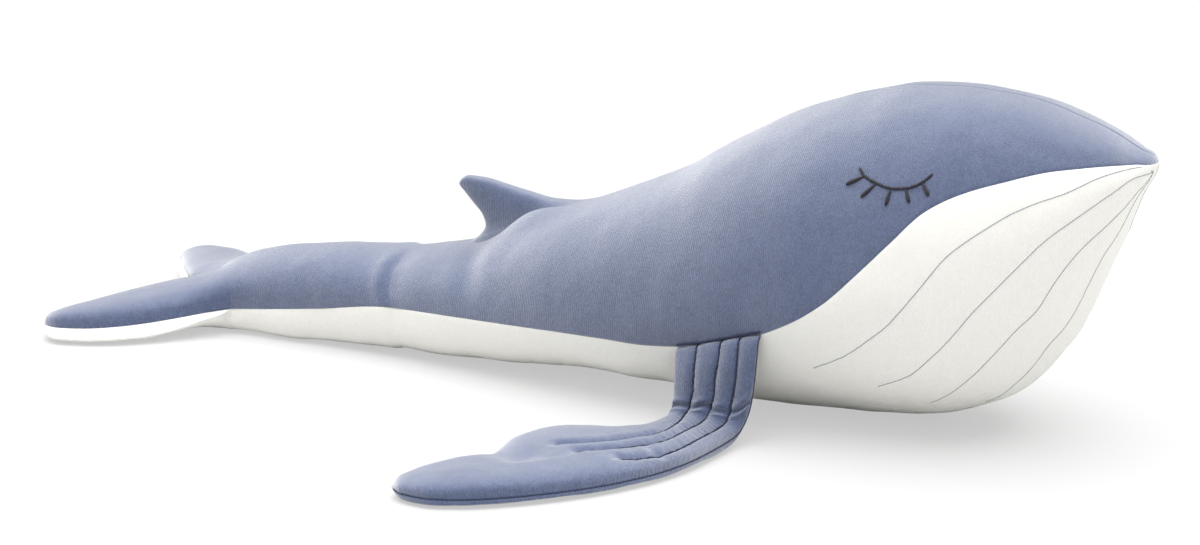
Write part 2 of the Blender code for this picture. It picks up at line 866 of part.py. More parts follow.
def closed_eye(side, word):
    """A closed lid with five lashes, embroidered on the side of the head."""
    panel = bpy.data.objects["upper_panel_" + word]
    cloth = bmesh.new()
    cloth.from_mesh(panel.data)
    bmesh.ops.translate(cloth, verts=cloth.verts, vec=panel.location)
    tree = BVHTree.FromBMesh(cloth)
    cloth.free()

    def on_cloth(x, z):
        top, bottom, half, widest, seam, power = body_section(x)
        angle = math.asin((z - widest) / (top - widest))
        point = body_surface(x, angle)
        outward = (point - Vector((x, 0.0, widest))).normalized()
        start = point + outward * body_width / 10
        start.y *= side
        outward.y *= side
        hit = tree.ray_cast(start, -outward)[0]
        return hit + outward * (thread_radius + eye_clearance)

    def lid_place(share):
        return eye_x + share * eye_width / 2, eye_height - lid_sag * (1 - share ** 2)

    places = [lid_place(-1 + 2 * step / lid_steps) for step in range(lid_steps + 1)]
    made = thread_tube("closed_eye_" + word, [on_cloth(x, z) for x, z in places])
    parts.objects.link(made)
    for number, (share, tilt, length) in enumerate(lash_shares):
        begin_x, begin_z = lid_place(share)
        turn = tilt * lash_tilt
        reach = length * lash_length
        points = []
        for step in range(lash_steps + 1):
            along = reach * step / lash_steps
            points.append(on_cloth(begin_x + math.sin(turn) * along, begin_z - math.cos(turn) * along))
        lash = thread_tube("lash_%d_%s" % (number + 1, word), points)
        cutters.objects.link(lash)
        lash.hide_render = True
        lash.display_type = "WIRE"
        joined = made.modifiers.new(lash.name, "BOOLEAN")
        joined.operation = "UNION"
        joined.solver = "EXACT"
        joined.object = lash
    made.data.materials.append(material(made.name, eye_thread, thread_roughness))
    return made


for leftover in list(bpy.data.objects):
    bpy.data.objects.remove(leftover)

parts = bpy.data.collections.new("plush_whale")
cutters = bpy.data.collections.new("plush_whale_tools")
bpy.context.scene.collection.children.link(parts)
bpy.context.scene.collection.children.link(cutters)

# The torso, from the tail bend to the snout
torso_end = level_knuckle(pocket(tail_bend_radius, tail_bend_facet))
back_line = body_segment(
    ["upper_panel_right", "upper_panel_left", "belly_panel", "torso_filling"],
    torso_rows, torso_end, None, (level_cap_columns, over_body_end(torso_end)), (1, straight),
    Vector((0, 0, 0)),
)

# The tail root, which bends up and down behind the torso
tail_root_end = upright_knuckle(pocket(tail_swing_radius, tail_swing_facet))
tail_root_nose = level_knuckle(tail_bend_radius)
body_segment(
    ["tail_root_panel_right", "tail_root_panel_left", "tail_root_belly", "tail_root_filling"],
    tail_root_rows, tail_root_end, tail_root_nose,
    (upright_cap_columns, over_body_end(tail_root_end)),
    (level_cap_columns, over_body_end(tail_root_nose)), Vector((tail_bend_x, 0, tail_bend_height)),
)

# The tail, which swings from side to side behind its root
tail_nose = upright_knuckle(tail_swing_radius)
body_segment(
    ["tail_panel_right", "tail_panel_left", "tail_belly", "tail_filling"],
    tail_rows, fluke_creases, tail_nose, (2, stock_ridge),
    (upright_cap_columns, over_body_end(tail_nose)), Vector((tail_swing_x, 0, tail_bend_height)),
)

dorsal_fin(back_line)
for side, word in ((RIGHT, "right"), (LEFT, "left")):
    flukes(side, word)
    flipper_arm(side, word)
    flipper_blade(side, word)
    closed_eye(side, word)
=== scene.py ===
# %% [markdown]
# # A stuffed whale, sewn and shaped in Blender
# The real toy is a plush whale, nearly a metre long. Two blue knit panels make
# its sides, one off-white jersey panel makes its belly, and loose fibre swells
# them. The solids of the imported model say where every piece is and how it
# moves. This lesson dresses them with cloth that is puffed, creased and sewn.

# %% Load the solid model that everything is fitted to
import math

import bmesh
import bpy
import numpy as np
from mathutils import Matrix, Vector, noise
from mathutils.bvhtree import BVHTree


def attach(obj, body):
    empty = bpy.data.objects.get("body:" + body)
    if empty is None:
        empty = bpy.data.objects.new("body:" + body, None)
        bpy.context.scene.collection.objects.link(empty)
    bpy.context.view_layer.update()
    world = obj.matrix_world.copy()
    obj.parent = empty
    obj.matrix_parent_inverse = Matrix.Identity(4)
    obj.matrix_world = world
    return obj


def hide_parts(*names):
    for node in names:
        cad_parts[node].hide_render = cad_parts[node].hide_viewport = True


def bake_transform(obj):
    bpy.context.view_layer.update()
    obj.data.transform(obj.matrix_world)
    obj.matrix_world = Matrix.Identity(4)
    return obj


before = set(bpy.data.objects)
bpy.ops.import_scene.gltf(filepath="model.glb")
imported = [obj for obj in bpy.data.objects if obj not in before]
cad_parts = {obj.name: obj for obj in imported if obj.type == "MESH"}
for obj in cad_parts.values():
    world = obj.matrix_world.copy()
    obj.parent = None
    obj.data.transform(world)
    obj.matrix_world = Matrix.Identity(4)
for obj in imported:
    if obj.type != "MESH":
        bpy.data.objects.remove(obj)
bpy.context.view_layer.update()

# %% The two sides, and new things in the scene
both_sides = ((-1, "right"), (1, "left"))


def add_object(name, data):
    """A new object in the scene, at the origin."""
    made = bpy.data.objects.new(name, data)
    bpy.context.scene.collection.objects.link(made)
    return made


# %% [markdown]
# ## The camera
# It looks at the whale's right side from a little in front and above, about
# two and a half metres away. A long lens at that distance keeps the snout and
# the flukes at nearly the same scale, as in a catalogue picture.

# %% Place the camera
camera_turn = math.radians(25)
camera_rise = math.radians(16)
camera_distance = 2.535
lens_length, film_width = 90.2, 36
camera_target = Vector((0.0055, 0.0, 0.0842))
back = Vector((
    math.sin(camera_turn) * math.cos(camera_rise),
    -math.cos(camera_turn) * math.cos(camera_rise),
    math.sin(camera_rise),
))
camera = add_object("camera", bpy.data.cameras.new("camera"))
camera.data.sensor_width = film_width
camera.data.lens = lens_length
camera.data.clip_start = 0.1
camera.location = camera_target + back * camera_distance
camera.rotation_mode = "QUATERNION"
camera.rotation_quaternion = back.to_track_quat("Z", "Y")
bpy.context.scene.camera = camera
print("camera at", [round(v, 3) for v in camera.location])

# %% [markdown]
# ## Colours and nodes
# Colours are written as the hex values that a picture editor shows. Shaders
# work with linear light, so one function converts them. Another adds a node,
# sets it, links it and gives its output, which keeps each material short.

# %% Helpers for materials
def linear(code):
    """A hex colour as linear values with full opacity."""
    values = [int(code[i:i + 2], 16) / 255 for i in (1, 3, 5)]
    curve = [v / 12.92 if v <= 0.04045 else ((v + 0.055) / 1.055) ** 2.4 for v in values]
    return (*curve, 1.0)


def add_node(tree, kind, inputs, output=0, **settings):
    """Add a node, set it, set or link its inputs, and give one of its outputs."""
    made = tree.nodes.new("ShaderNode" + kind)
    for key, value in settings.items():
        setattr(made, key, value)
    for key, value in inputs.items():
        if isinstance(value, bpy.types.NodeSocket):
            tree.links.new(value, made.inputs[key])
        else:
            made.inputs[key].default_value = value
    return made.outputs[output] if made.outputs else made


def calculated(tree, operation, first, second):
    """The outcome of one operation on two values."""
    return add_node(tree, "Math", {0: first, 1: second}, operation=operation)


def mixed_colour(tree, factor, none, full):
    """A mix of two hex colours: the first at a factor of 0, the second at 1."""
    values = {"Factor": factor, 6: linear(none), 7: linear(full)}
    return add_node(tree, "Mix", values, output=2, data_type="RGBA")


def empty_material(name):
    """A material with nothing but its output, and its node tree."""
    made = bpy.data.materials.new(name)
    made.use_nodes = True
    made.node_tree.nodes.clear()
    return made, made.node_tree


# %% [markdown]
# ## Brushed knit and white jersey
# The sides are sweatshirt knit whose face is brushed. Loose fibre ends stand up
# and catch light at a flat angle, so the back looks paler than the flanks. That
# is what the sheen of the shader is for. The fibres also make a fine mottle
# about a millimetre across, and the knitted ribs show faintly through it. The
# belly's jersey isn't brushed: it has the same build with little sheen and nap.

# %% Knit cloth
fibre_mottle = 0.0010
soft_mottle, soft_share = 0.006, 0.22
mottle_span = (0.45, 0.77)
rib_pitch, rib_relief = 0.0018, 0.0004
nap_relief = 0.0012
wave_period = 0.314


def knit_material(name, pale, deep, sheen, nap):
    """Knit cloth: two shades mixed by its fibres, with ribs and nap as bump."""
    made, tree = empty_material(name)
    place = add_node(tree, "TexCoord", {}, output="Object")
    upright = add_node(tree, "Mapping", {"Vector": place, "Scale": (1.0, 1.0, 0.45)})
    fibres = add_node(tree, "TexNoise", {
        "Vector": upright, "Scale": 1 / fibre_mottle, "Detail": 4.0, "Roughness": 0.7})
    tufts = add_node(tree, "TexNoise", {
        "Vector": place, "Scale": 1 / soft_mottle, "Detail": 2.0, "Roughness": 0.6})
    both = calculated(tree, "ADD", fibres, calculated(tree, "MULTIPLY", tufts, soft_share))
    low, high = mottle_span
    span = add_node(tree, "MapRange", {"Value": both, "From Min": low, "From Max": high})
    ribs = add_node(tree, "TexWave", {
        "Vector": place, "Scale": wave_period / rib_pitch, "Distortion": 1.2, "Detail": 1.0,
    }, output="Fac", bands_direction="X")
    rib_bump = add_node(tree, "Bump", {"Height": ribs, "Strength": 0.25, "Distance": rib_relief})
    nap_bump = add_node(tree, "Bump", {
        "Height": fibres, "Strength": nap, "Distance": nap_relief, "Normal": rib_bump})
    shader = add_node(tree, "BsdfPrincipled", {
        "Base Color": mixed_colour(tree, span, deep, pale), "Roughness": 0.95,
        "Specular IOR Level": 0.2, "Sheen Weight": sheen, "Sheen Roughness": 0.53,
        "Normal": nap_bump})
    add_node(tree, "OutputMaterial", {"Surface": shader})
    return made


blue_knit = knit_material("brushed_blue_knit", "#505d7d", "#303c5a", 1.0, 0.5)
white_jersey = knit_material("white_jersey", "#dfdeda", "#d7d6d1", 0.10, 0.3)
print("knit mottle", fibre_mottle * 1000, "mm, ribs", rib_pitch * 1000, "mm")

# %% [markdown]
# ## Sewing thread
# Three threads show: navy polyester on the flippers, fine grey on the throat
# and thick, dark cotton in the closed eyes. Spun thread is twisted, so a wave
# texture gives each one slanted plies, and its gloss is low and broad.

# %% Threads
def thread_material(name, colour, dark, ply):
    """Twisted thread, whose plies lie about as far apart as it is thick."""
    made, tree = empty_material(name)
    place = add_node(tree, "TexCoord", {}, output="Object")
    plies = add_node(tree, "TexWave", {
        "Vector": place, "Scale": 0.3 / ply, "Distortion": 2.0, "Detail": 2.0,
    }, output="Fac", bands_direction="DIAGONAL")
    bump = add_node(tree, "Bump", {"Height": plies, "Strength": 0.6, "Distance": ply / 3})
    shader = add_node(tree, "BsdfPrincipled", {
        "Base Color": mixed_colour(tree, plies, dark, colour), "Roughness": 0.8,
        "Sheen Weight": 0.04, "Sheen Roughness": 0.5, "Normal": bump})
    add_node(tree, "OutputMaterial", {"Surface": shader})
    return made


navy_thread = thread_material("navy_thread", "#232c4c", "#151c36", 0.0006)
grey_thread = thread_material("grey_thread", "#9b9ca3", "#7c7d86", 0.0005)
eye_thread = thread_material("eye_thread", "#1c1726", "#0e0b14", 0.0009)
print("threads", navy_thread.name, grey_thread.name, eye_thread.name)

# %% [markdown]
# ## The shape of the body
# A stuffed body is read best from its sections. Each row of this table says,
# at one place along the body, how high the back, the belly, the widest line
# and the seam lie, and how wide the body is. From the fin forward the rows are
# those of the solid model. Nearer to the flukes they follow the photograph,
# and stay within seven millimetres of the solid.

# %% Sections of the body
body_length = 0.861
body_height = 0.275
body_width = 0.250
rest_flat_depth = 0.0005
snout_x = 0.4775
stock_end_x = snout_x - body_length
section_rows = np.array([
    (0.000, 0.114, 0.056, 0.100, 0.092, 0.074),
    (0.010, 0.146, 0.024, 0.226, 0.097, 0.074),
    (0.029, 0.188, 0.003, 0.330, 0.105, 0.075),
    (0.059, 0.229, 0.000, 0.388, 0.119, 0.083),
    (0.094, 0.260, 0.000, 0.390, 0.135, 0.095),
    (0.164, 0.293, 0.000, 0.410, 0.149, 0.126),
    (0.245, 0.318, 0.000, 0.456, 0.160, 0.169),
    (0.315, 0.360, 0.000, 0.536, 0.178, 0.182),
    (0.373, 0.433, 0.007, 0.616, 0.196, 0.193),
    (0.419, 0.502, 0.018, 0.688, 0.218, 0.202),
    (0.489, 0.593, 0.025, 0.784, 0.247, 0.215),
    (0.547, 0.680, 0.022, 0.856, 0.276, 0.222),
    (0.594, 0.771, 0.011, 0.912, 0.313, 0.240),
    (0.652, 0.870, 0.000, 0.968, 0.356, 0.287),
    (0.710, 0.940, 0.000, 1.000, 0.400, 0.375),
    (0.739, 0.964, 0.001, 1.000, 0.425, 0.440),
    (0.768, 0.985, 0.008, 1.000, 0.451, 0.531),
    (0.797, 0.995, 0.021, 0.980, 0.484, 0.629),
    (0.826, 1.000, 0.040, 0.952, 0.516, 0.724),
    (0.855, 0.993, 0.073, 0.888, 0.556, 0.775),
    (0.884, 0.981, 0.116, 0.816, 0.600, 0.805),
    (0.930, 0.942, 0.291, 0.632, 0.684, 0.838),
    (0.965, 0.901, 0.545, 0.416, 0.756, 0.844),
    (0.986, 0.865, 0.735, 0.240, 0.800, 0.842),
    (0.9965, 0.851, 0.796, 0.112, 0.822, 0.835),
    (1.000, 0.838, 0.828, 0.012, 0.833, 0.833),
])
belly_square_power, stock_square_power = 1.0, 2.4
square_shares = ((0.40, 0.14), (0.28, 0.11))
throat_round_power = -0.32
throat_round_place = 0.72
throat_round_reach = 0.13


# %% A smooth curve through measured values
def smooth_curve(places, values):
    """A function that runs smoothly through the values and never overshoots."""
    steps = np.diff(places)
    rises = np.diff(values) / steps
    slopes = np.zeros(len(places))
    slopes[0] = rises[0]
    slopes[-1] = rises[-1]
    before = 2 * steps[1:] + steps[:-1]
    after = steps[1:] + 2 * steps[:-1]
    for i in range(len(steps) - 1):
        if rises[i] * rises[i + 1] > 0:
            weights = before[i] / rises[i] + after[i] / rises[i + 1]
            slopes[i + 1] = (before[i] + after[i]) / weights

    def read(place):
        index = np.clip(np.searchsorted(places, place) - 1, 0, len(steps) - 1)
        u = np.clip((place - places[index]) / steps[index], 0, 1)
        return (
            values[index] * (1 + 2 * u) * (1 - u) ** 2
            + values[index + 1] * u * u * (3 - 2 * u)
            + steps[index] * slopes[index] * u * (1 - u) ** 2
            + steps[index] * slopes[index + 1] * u * u * (u - 1)
        )

    return read


section_curves = [smooth_curve(section_rows[:, 0], section_rows[:, i]) for i in range(1, 6)]
print(len(section_rows), "sections over", body_length, "m")


# %% Smooth steps and valleys
def smooth_step(value):
    """From 0 to 1 with level ends."""
    value = np.clip(value, 0, 1)
    return value * value * (3 - 2 * value)


def valley(distance, depth, width):
    """Depth of a soft groove at a distance from its line."""
    return -depth * np.exp(-(distance / width) ** 2)


# %% Read a section and a point of the skin
def section(x):
    """Top, bottom, half width, widest height, seam height and belly power at x."""
    along = (x - stock_end_x) / body_length
    top, bottom, half, widest, seam = (curve(along) for curve in section_curves)
    belly, stock = ((begin - along) / (begin - full) for begin, full in square_shares)
    power = 2 + belly_square_power * np.clip(belly, 0, 1) + stock_square_power * smooth_step(stock)
    near = np.clip(1 - ((along - throat_round_place) / throat_round_reach) ** 2, 0, 1)
    power = power + throat_round_power * near * near
    return (
        top * body_height, bottom * body_height - rest_flat_depth, half * body_width / 2,
        widest * body_height, seam * body_height, power,
    )


def seam_turn(x):
    """Angle of the blue and white seam, seen from the widest line at x."""
    top, bottom, _, widest, seam, power = section(x)
    above = np.arcsin(np.clip((seam - widest) / (top - widest), -1, 1))
    share = np.clip((widest - seam) / (widest - bottom), 0, 1)
    return np.where(seam >= widest, above, -np.arcsin(share ** (power / 2)))


def skin(x, turn):
    """Points of the left side of the skin, from 90 degrees on top to -90 below."""
    top, bottom, half, widest, _, power = section(x)
    sine = np.sin(turn)
    cosine = np.abs(np.cos(turn))
    above = sine >= 0
    y = np.where(above, half * cosine, half * cosine ** (2 / power))
    low = widest - (widest - bottom) * np.abs(sine) ** (2 / power)
    z = np.where(above, widest + (top - widest) * sine, low)
    return np.stack([x + 0 * y, y, z], axis=-1)


print("half width at x = 0.25:", round(float(section(0.25)[2]), 4))

# %% [markdown]
# ## From a grid to a stuffed form
# Every soft piece here starts as a flat bmesh grid. Its corners are moved onto
# the piece's surface, rows along it and columns round it. The last column
# lands on the first one, so merging doubles closes the tube, and the ends are
# filled. This keeps even quads, which puff, crease and bend well.

# %% Turn places into a closed mesh
merge_distance = 0.00001
sharp_angle = math.radians(48)


def finished(name, work, material):
    """Turn a bmesh into a smooth piece at the origin."""
    bmesh.ops.recalc_face_normals(work, faces=work.faces)
    mesh = bpy.data.meshes.new(name)
    work.to_mesh(mesh)
    work.free()
    mesh.shade_smooth()
    mesh.materials.append(material)
    return add_object(name, mesh)


def stuffed_form(name, places, material):
    """A closed mesh from a grid of places, rows by columns, closed round."""
    rows, columns = places.shape[0] - 1, places.shape[1] - 1
    form = bmesh.new()
    bmesh.ops.create_grid(form, x_segments=rows, y_segments=columns, size=0.5)
    for vert in form.verts:
        i = round((vert.co.x + 0.5) * rows)
        j = round((vert.co.y + 0.5) * columns)
        vert.co = places[i, j]
    bmesh.ops.remove_doubles(form, verts=form.verts, dist=merge_distance)
    open_edges = [edge for edge in form.edges if edge.is_boundary]
    bmesh.ops.holes_fill(form, edges=open_edges)
    caps = [face for face in form.faces if len(face.verts) > 4]
    bmesh.ops.triangulate(form, faces=caps)
    piece = finished(name, form, material)
    piece.data.set_sharp_from_angle(angle=sharp_angle)
    return piece


# %% Directions out of a surface
def lengths(vectors):
    """Length of each vector, kept as a column."""
    return np.linalg.norm(vectors, axis=-1, keepdims=True)


def unit(vectors):
    """The same directions at a length of one."""
    return vectors / np.maximum(lengths(vectors), 1e-9)


def facing_out(along, around, outward):
    """Unit directions square to both steps, on the outward side."""
    tiny = 1e-13
    normals = np.cross(along, around)
    size = lengths(normals)
    normals = np.where(size > tiny, normals / np.maximum(size, tiny), outward)
    wrong = np.sum(normals * outward, axis=-1, keepdims=True) < 0
    return np.where(wrong, -normals, normals)


# %% Rows along a form, and the ground under it
def row_shares(last, restart, rows, fine_rows):
    """Shares along a form, with closer rows near its end."""
    return np.concatenate([np.linspace(0, last, rows), np.linspace(restart, 1, fine_rows)])


def on_ground(places, side=1):
    """Lift what is below the ground onto it, and mirror it to its side."""
    places[..., 2] = np.maximum(places[..., 2], 0.0)
    places[..., 1] *= side
    return places


# %% [markdown]
# ## Lumps in the stuffing
# Fibre never fills cloth evenly. Broad, low noise moves the skin by about a
# millimetre, with two finer and weaker layers over it. The noise depends on the
# place alone, so two panels that meet at a seam stay together. Low down on the
# rear of the belly the cloth gathers in slower and larger lumps.

# %% Noise of the stuffing
lump_layers = ((0.060, 0.0013), (0.024, 0.0005), (0.009, 0.00012))
belly_lump_size, belly_lump_height = (0.05, 0.09, 0.06), 0.0022
belly_lump_shift = (0, 0, 3.7)


def noise_at(places):
    """Smooth noise between -1 and 1 at each place."""
    values = [noise.noise(Vector(place)) for place in places.reshape(-1, 3)]
    return np.array(values).reshape(places.shape[:-1])


def lumps(places):
    """How far the stuffing pushes the skin out at each place."""
    return sum(height * noise_at(places / size) for size, height in lump_layers)


def belly_lumps(places):
    """Slower and larger lumps where the belly's cloth gathers on the ground."""
    low = 1 - smooth_step((places[..., 2] - 0.02) / 0.04)
    rear = 1 - smooth_step((places[..., 0] - 0.10) / 0.10)
    return belly_lump_height * noise_at(places / belly_lump_size + belly_lump_shift) * low * rear


print("lumps of", [layer[1] * 1000 for layer in lump_layers], "mm")

# %% [markdown]
# ## The skin with its seams and folds
# A sewn skin dips along every seam, and folds where the stuffing is thin. One
# function gives the finished skin at any place, so that pieces that meet there
# share the same points. Two soft folds cross the body at the fin and behind it:
# the toy bends there. The rear one runs on under the belly, and the front one
# shows on the flanks alone. The cloth rises to a ridge where the fin grows out
# of it. Next to a fluke it is pinched at the middle and rounded outside.

# %% Where a column of the skin runs
seam_depth = 0.0005
seam_width = 0.0013
back_seam_depth = 0.0007
back_seam_width = 0.0009
head_x, head_fade = 0.16, 0.12


def turn_of(x, across, upper):
    """Section angle of a column: 0 is the middle line, 1 and -1 the seams."""
    edge = seam_turn(x)
    if upper:
        return math.pi / 2 - np.abs(across) * (math.pi / 2 - edge)
    return -math.pi / 2 + np.abs(across) * (math.pi / 2 + edge)


def panel_width(x, upper):
    """Length of the skin from the middle line to the seam at each x."""
    shares = np.linspace(0, 1, 25)
    flat = np.ravel(x)
    rows = skin(flat[:, None], turn_of(flat[:, None], shares[None, :], upper))
    return np.linalg.norm(np.diff(rows, axis=1), axis=-1).sum(axis=1).reshape(np.shape(x))


def sewn_seams(x, across, upper):
    """The dips of the skin along its seams."""
    apart = np.abs(across)
    width = panel_width(x, upper)
    dips = valley((1 - apart) * width, seam_depth, seam_width)
    if upper:
        head = smooth_step((x - head_x) / head_fade)
        dips = dips + head * valley(apart * width, back_seam_depth, back_seam_width)
    return dips


# %% The two folds across the body
fold_top_x, fold_under_x = -0.1695, -0.1635
fold_bow, fold_hook = 0.0040, 0.006
fold_depth = 0.0030
fold_widths = (0.0100, 0.0170)
fold_swells = (0.0034, 0.0006)
front_fold_depth = 0.0028
front_fold_widths = (0.0130, 0.0170)
front_fold_swells = (0.0008, 0.0014)
front_fold_x = -0.1020
front_fold_run = 0.0140


def fold_x(across, upper):
    """Where the rear fold crosses a column of the skin."""
    if not upper:
        return np.full(np.shape(across), fold_under_x)
    bow = np.sin(math.pi * np.clip(np.abs(across), 0, 1))
    return fold_top_x - fold_bow * bow + fold_hook * across**4


def fold_profile(distance, depth, widths, swells):
    """A fold: a valley with a swell behind it and one in front of it."""
    behind = distance < 0
    share = (distance / np.where(behind, *widths)) ** 2
    return -depth * np.exp(-share) + np.where(behind, *swells) * share * np.exp(1 - share) / 2


def crossing_folds(x, across, upper):
    """Both folds, strongest on the flanks and nearly gone along the back."""
    apart = np.abs(across)
    rear = fold_profile(x - fold_x(across, upper), fold_depth, fold_widths, fold_swells)
    if not upper:
        return (0.35 + 0.25 * smooth_step(apart)) * rear
    start = front_fold_x + front_fold_run * smooth_step(apart / 0.9)
    front = fold_profile(x - start, front_fold_depth, front_fold_widths, front_fold_swells)
    flank = smooth_step((apart - 0.03) / 0.40)
    rear_share = 0.06 + 0.94 * flank * (1 - 0.75 * smooth_step((apart - 0.70) / 0.30))
    front_share = 0.04 + 0.96 * flank * (1 - smooth_step((apart - 0.55) / 0.40))
    return rear_share * rear + front_share * front


# %% The ridge under the fin and the corner beside a fluke
ridge_height = 0.0100
ridge_x = -0.050
ridge_length = 0.027
ridge_flat = 0.012
ridge_width = 0.019
crease_slope = math.tan(math.radians(42))
crease_sine, crease_cosine = 0.67, 0.74
pinch_depth = 0.0030
pinch_width = 0.0095
corner_fill = 0.0026
corner_reach = 0.020
snout_fade = 0.014


def fin_ridge(x, y):
    """The cloth that rises in front of the fin and on both sides of it."""
    along = np.exp(-((x - ridge_x) / ridge_length) ** 2)
    beside = np.exp(-(np.maximum(np.abs(y) - ridge_flat, 0) / ridge_width) ** 2)
    return ridge_height * along * beside


def fluke_corner(distance, apart, upper):
    """Where stock and fluke meet: pinched at the middle, rounded outside."""
    share = 0.45 * (1 - smooth_step(apart / 0.65)) if upper else 0.10 + 0 * apart
    pinch = valley(distance, pinch_depth * share, pinch_width)
    near = np.clip(1 - np.abs(distance) / corner_reach, 0, 1)
    outside = smooth_step(apart / 0.5) * (1 - 0.6 * smooth_step((apart - 0.8) / 0.2))
    return pinch + corner_fill * near * near * outside


# %% The finished skin
def skin_normals(x, turn, places, mirror):
    """Outward directions of the plain skin."""
    step_x, step_turn = 0.0006, 0.01
    edge = np.minimum(x + step_x, snout_x - 0.0001)
    along = skin(edge, turn) - skin(x - step_x, turn)
    around = skin(x, turn + step_turn) - skin(x, turn - step_turn)
    outward = places - np.stack([x, 0 * x, section(x)[3]], axis=-1)
    return facing_out(along * mirror, around * mirror, unit(outward))


def dressed_skin(x, across, upper):
    """Places of the finished skin, with its lumps, seams and folds."""
    x, across = np.broadcast_arrays(x, across)
    side = np.where(across >= 0, 1.0, -1.0)
    mirror = np.stack([np.ones_like(side), side, np.ones_like(side)], axis=-1)
    turn = turn_of(x, across, upper)
    places = skin(x, turn) * mirror
    normals = skin_normals(x, turn, places, mirror)
    moved = lumps(places) + sewn_seams(x, across, upper) + crossing_folds(x, across, upper)
    moved = moved + (fin_ridge(x, places[..., 1]) if upper else belly_lumps(places))
    to_stock = x - (stock_end_x + np.abs(places[..., 1]) / crease_slope)
    moved = moved + fluke_corner(to_stock * crease_sine, np.abs(across), upper)
    moved = moved * np.clip((snout_x - x) / snout_fade, 0, 1)
    return on_ground(places + normals * moved[..., None])


print("folds", fold_depth * 1000, front_fold_depth * 1000, "mm, pinch", pinch_depth * 1000, "mm")

# %% [markdown]
# ## The body's panels
# The cloth of the real body runs on over the tail, but a piece can bend at one
# joint only. So the body is parted at the bottom of the rear fold, into a front
# part and a rear part. Each part has a blue half and a white half, which meet
# at the seam. Every half is a closed tube of its own, with its filling inside.

# %% Shape one half of a body part
side_columns = 34
inner_columns = 8
panel_gap = 0.0001
snout_gap = 0.0002
stock_reach, halvings = 0.08, 40


def column_shares():
    """Shares from the middle to the seam, closer together at both ends."""
    fine = np.array([0, 0.004, 0.009, 0.016, 0.026, 0.040])
    middle = np.linspace(0.055, 0.945, side_columns)
    return np.concatenate([fine, middle, 1 - fine[::-1]])


def stock_x(across, upper):
    """Where each column meets the two creases at the end of the tail stock."""
    low = np.full(across.shape, stock_end_x)
    high = low + stock_reach
    for _ in range(halvings):
        middle = (low + high) / 2
        y = skin(middle, turn_of(middle, across, upper))[:, 1]
        behind = middle < stock_end_x + y / crease_slope
        low = np.where(behind, middle, low)
        high = np.where(behind, high, middle)
    return (low + high) / 2


def closed_half(name, places, upper, material):
    """A half that is closed inside by flat columns from seam to seam."""
    steps = np.linspace(0, 1, inner_columns + 1)[1:]
    first, last = places[:, :1], places[:, -1:]
    closing = last + (first - last) * steps[None, :, None]
    closing[:, :-1, 2] += panel_gap if upper else -panel_gap
    return stuffed_form(name, np.concatenate([places, closing], axis=1), material)


def body_half(name, upper, rear, front, shares, material):
    """One closed half of a body part between a rear and a front end."""
    half_shares = column_shares()
    across = np.concatenate([half_shares[::-1], -half_shares[1:]])
    rear_x, front_x = rear(across, upper), front(across, upper)
    x = rear_x[None, :] + (front_x - rear_x)[None, :] * shares[:, None]
    return closed_half(name, dressed_skin(x, across[None, :], upper), upper, material)


# %% Front and rear parts of the body
def snout_end(across, _):
    """The front part ends in the snout's tip."""
    return np.full(across.shape, snout_x - snout_gap)


front_shares = row_shares(0.93, 0.933, 240, 50)
rear_shares = np.linspace(0, 1, 90)

back_front = body_half("back_front", True, fold_x, snout_end, front_shares, blue_knit)
belly_front = body_half("belly_front", False, fold_x, snout_end, front_shares, white_jersey)
back_rear = body_half("back_rear", True, stock_x, fold_x, rear_shares, blue_knit)
belly_rear = body_half("belly_rear", False, stock_x, fold_x, rear_shares, white_jersey)
for piece in (back_front, belly_front, back_rear, belly_rear):
    print(piece.name, len(piece.data.polygons), "faces")

# %% [markdown]
# ## Flukes
# Each fluke is blue on top and white underneath, and the stock's own cloth runs
# into it. Its root row is therefore read from the body's skin along the crease,
# and fades into the fluke's own puffed section further out. Leading and
# trailing edges are two smooth lines, and the filling swells between them.

# %% Lines through measured places
def smooth_line(points, places):
    """A smooth line through points, read by their places from 0 to 1."""
    curves = [smooth_curve(places, column) for column in np.array(points, float).T]
    return lambda share: np.stack([curve(share) for curve in curves], axis=-1)


def indexed_line(points):
    """A smooth line through points, one for each row of a limb's table."""
    return smooth_line(points, np.linspace(0, 1, len(points)))


def indexed_curve(values):
    """A smooth curve through values that are evenly spaced from 0 to 1."""
    values = np.array(values, float)
    return smooth_curve(np.linspace(0, 1, len(values)), values)


def between(edge, chord, across):
    """A grid of places from an edge along its chords to the other edge."""
    return edge[:, None] + chord[:, None] * across[None, :, None]


# %% The round of a stuffed section
def puff(turn, power=0.7):
    """Height of a stuffed section, from 0 at one seam through 1 to 0."""
    return np.sin(math.pi * turn) ** power


def edge_turn(across):
    """Turn round a section, from 0 at the trailing seam to 1 at the leading one."""
    return np.arccos(np.clip(1 - 2 * across, -1, 1)) / math.pi


def even_turns(count):
    """Even turns round a section, and their shares of its width."""
    turn = np.linspace(0, 1, count)
    return turn, (1 - np.cos(math.pi * turn)) / 2


def off_seams(turn, reach):
    """0 at both seams of a section and 1 from a short way inside."""
    return smooth_step(np.minimum(turn, 1 - turn) / reach)


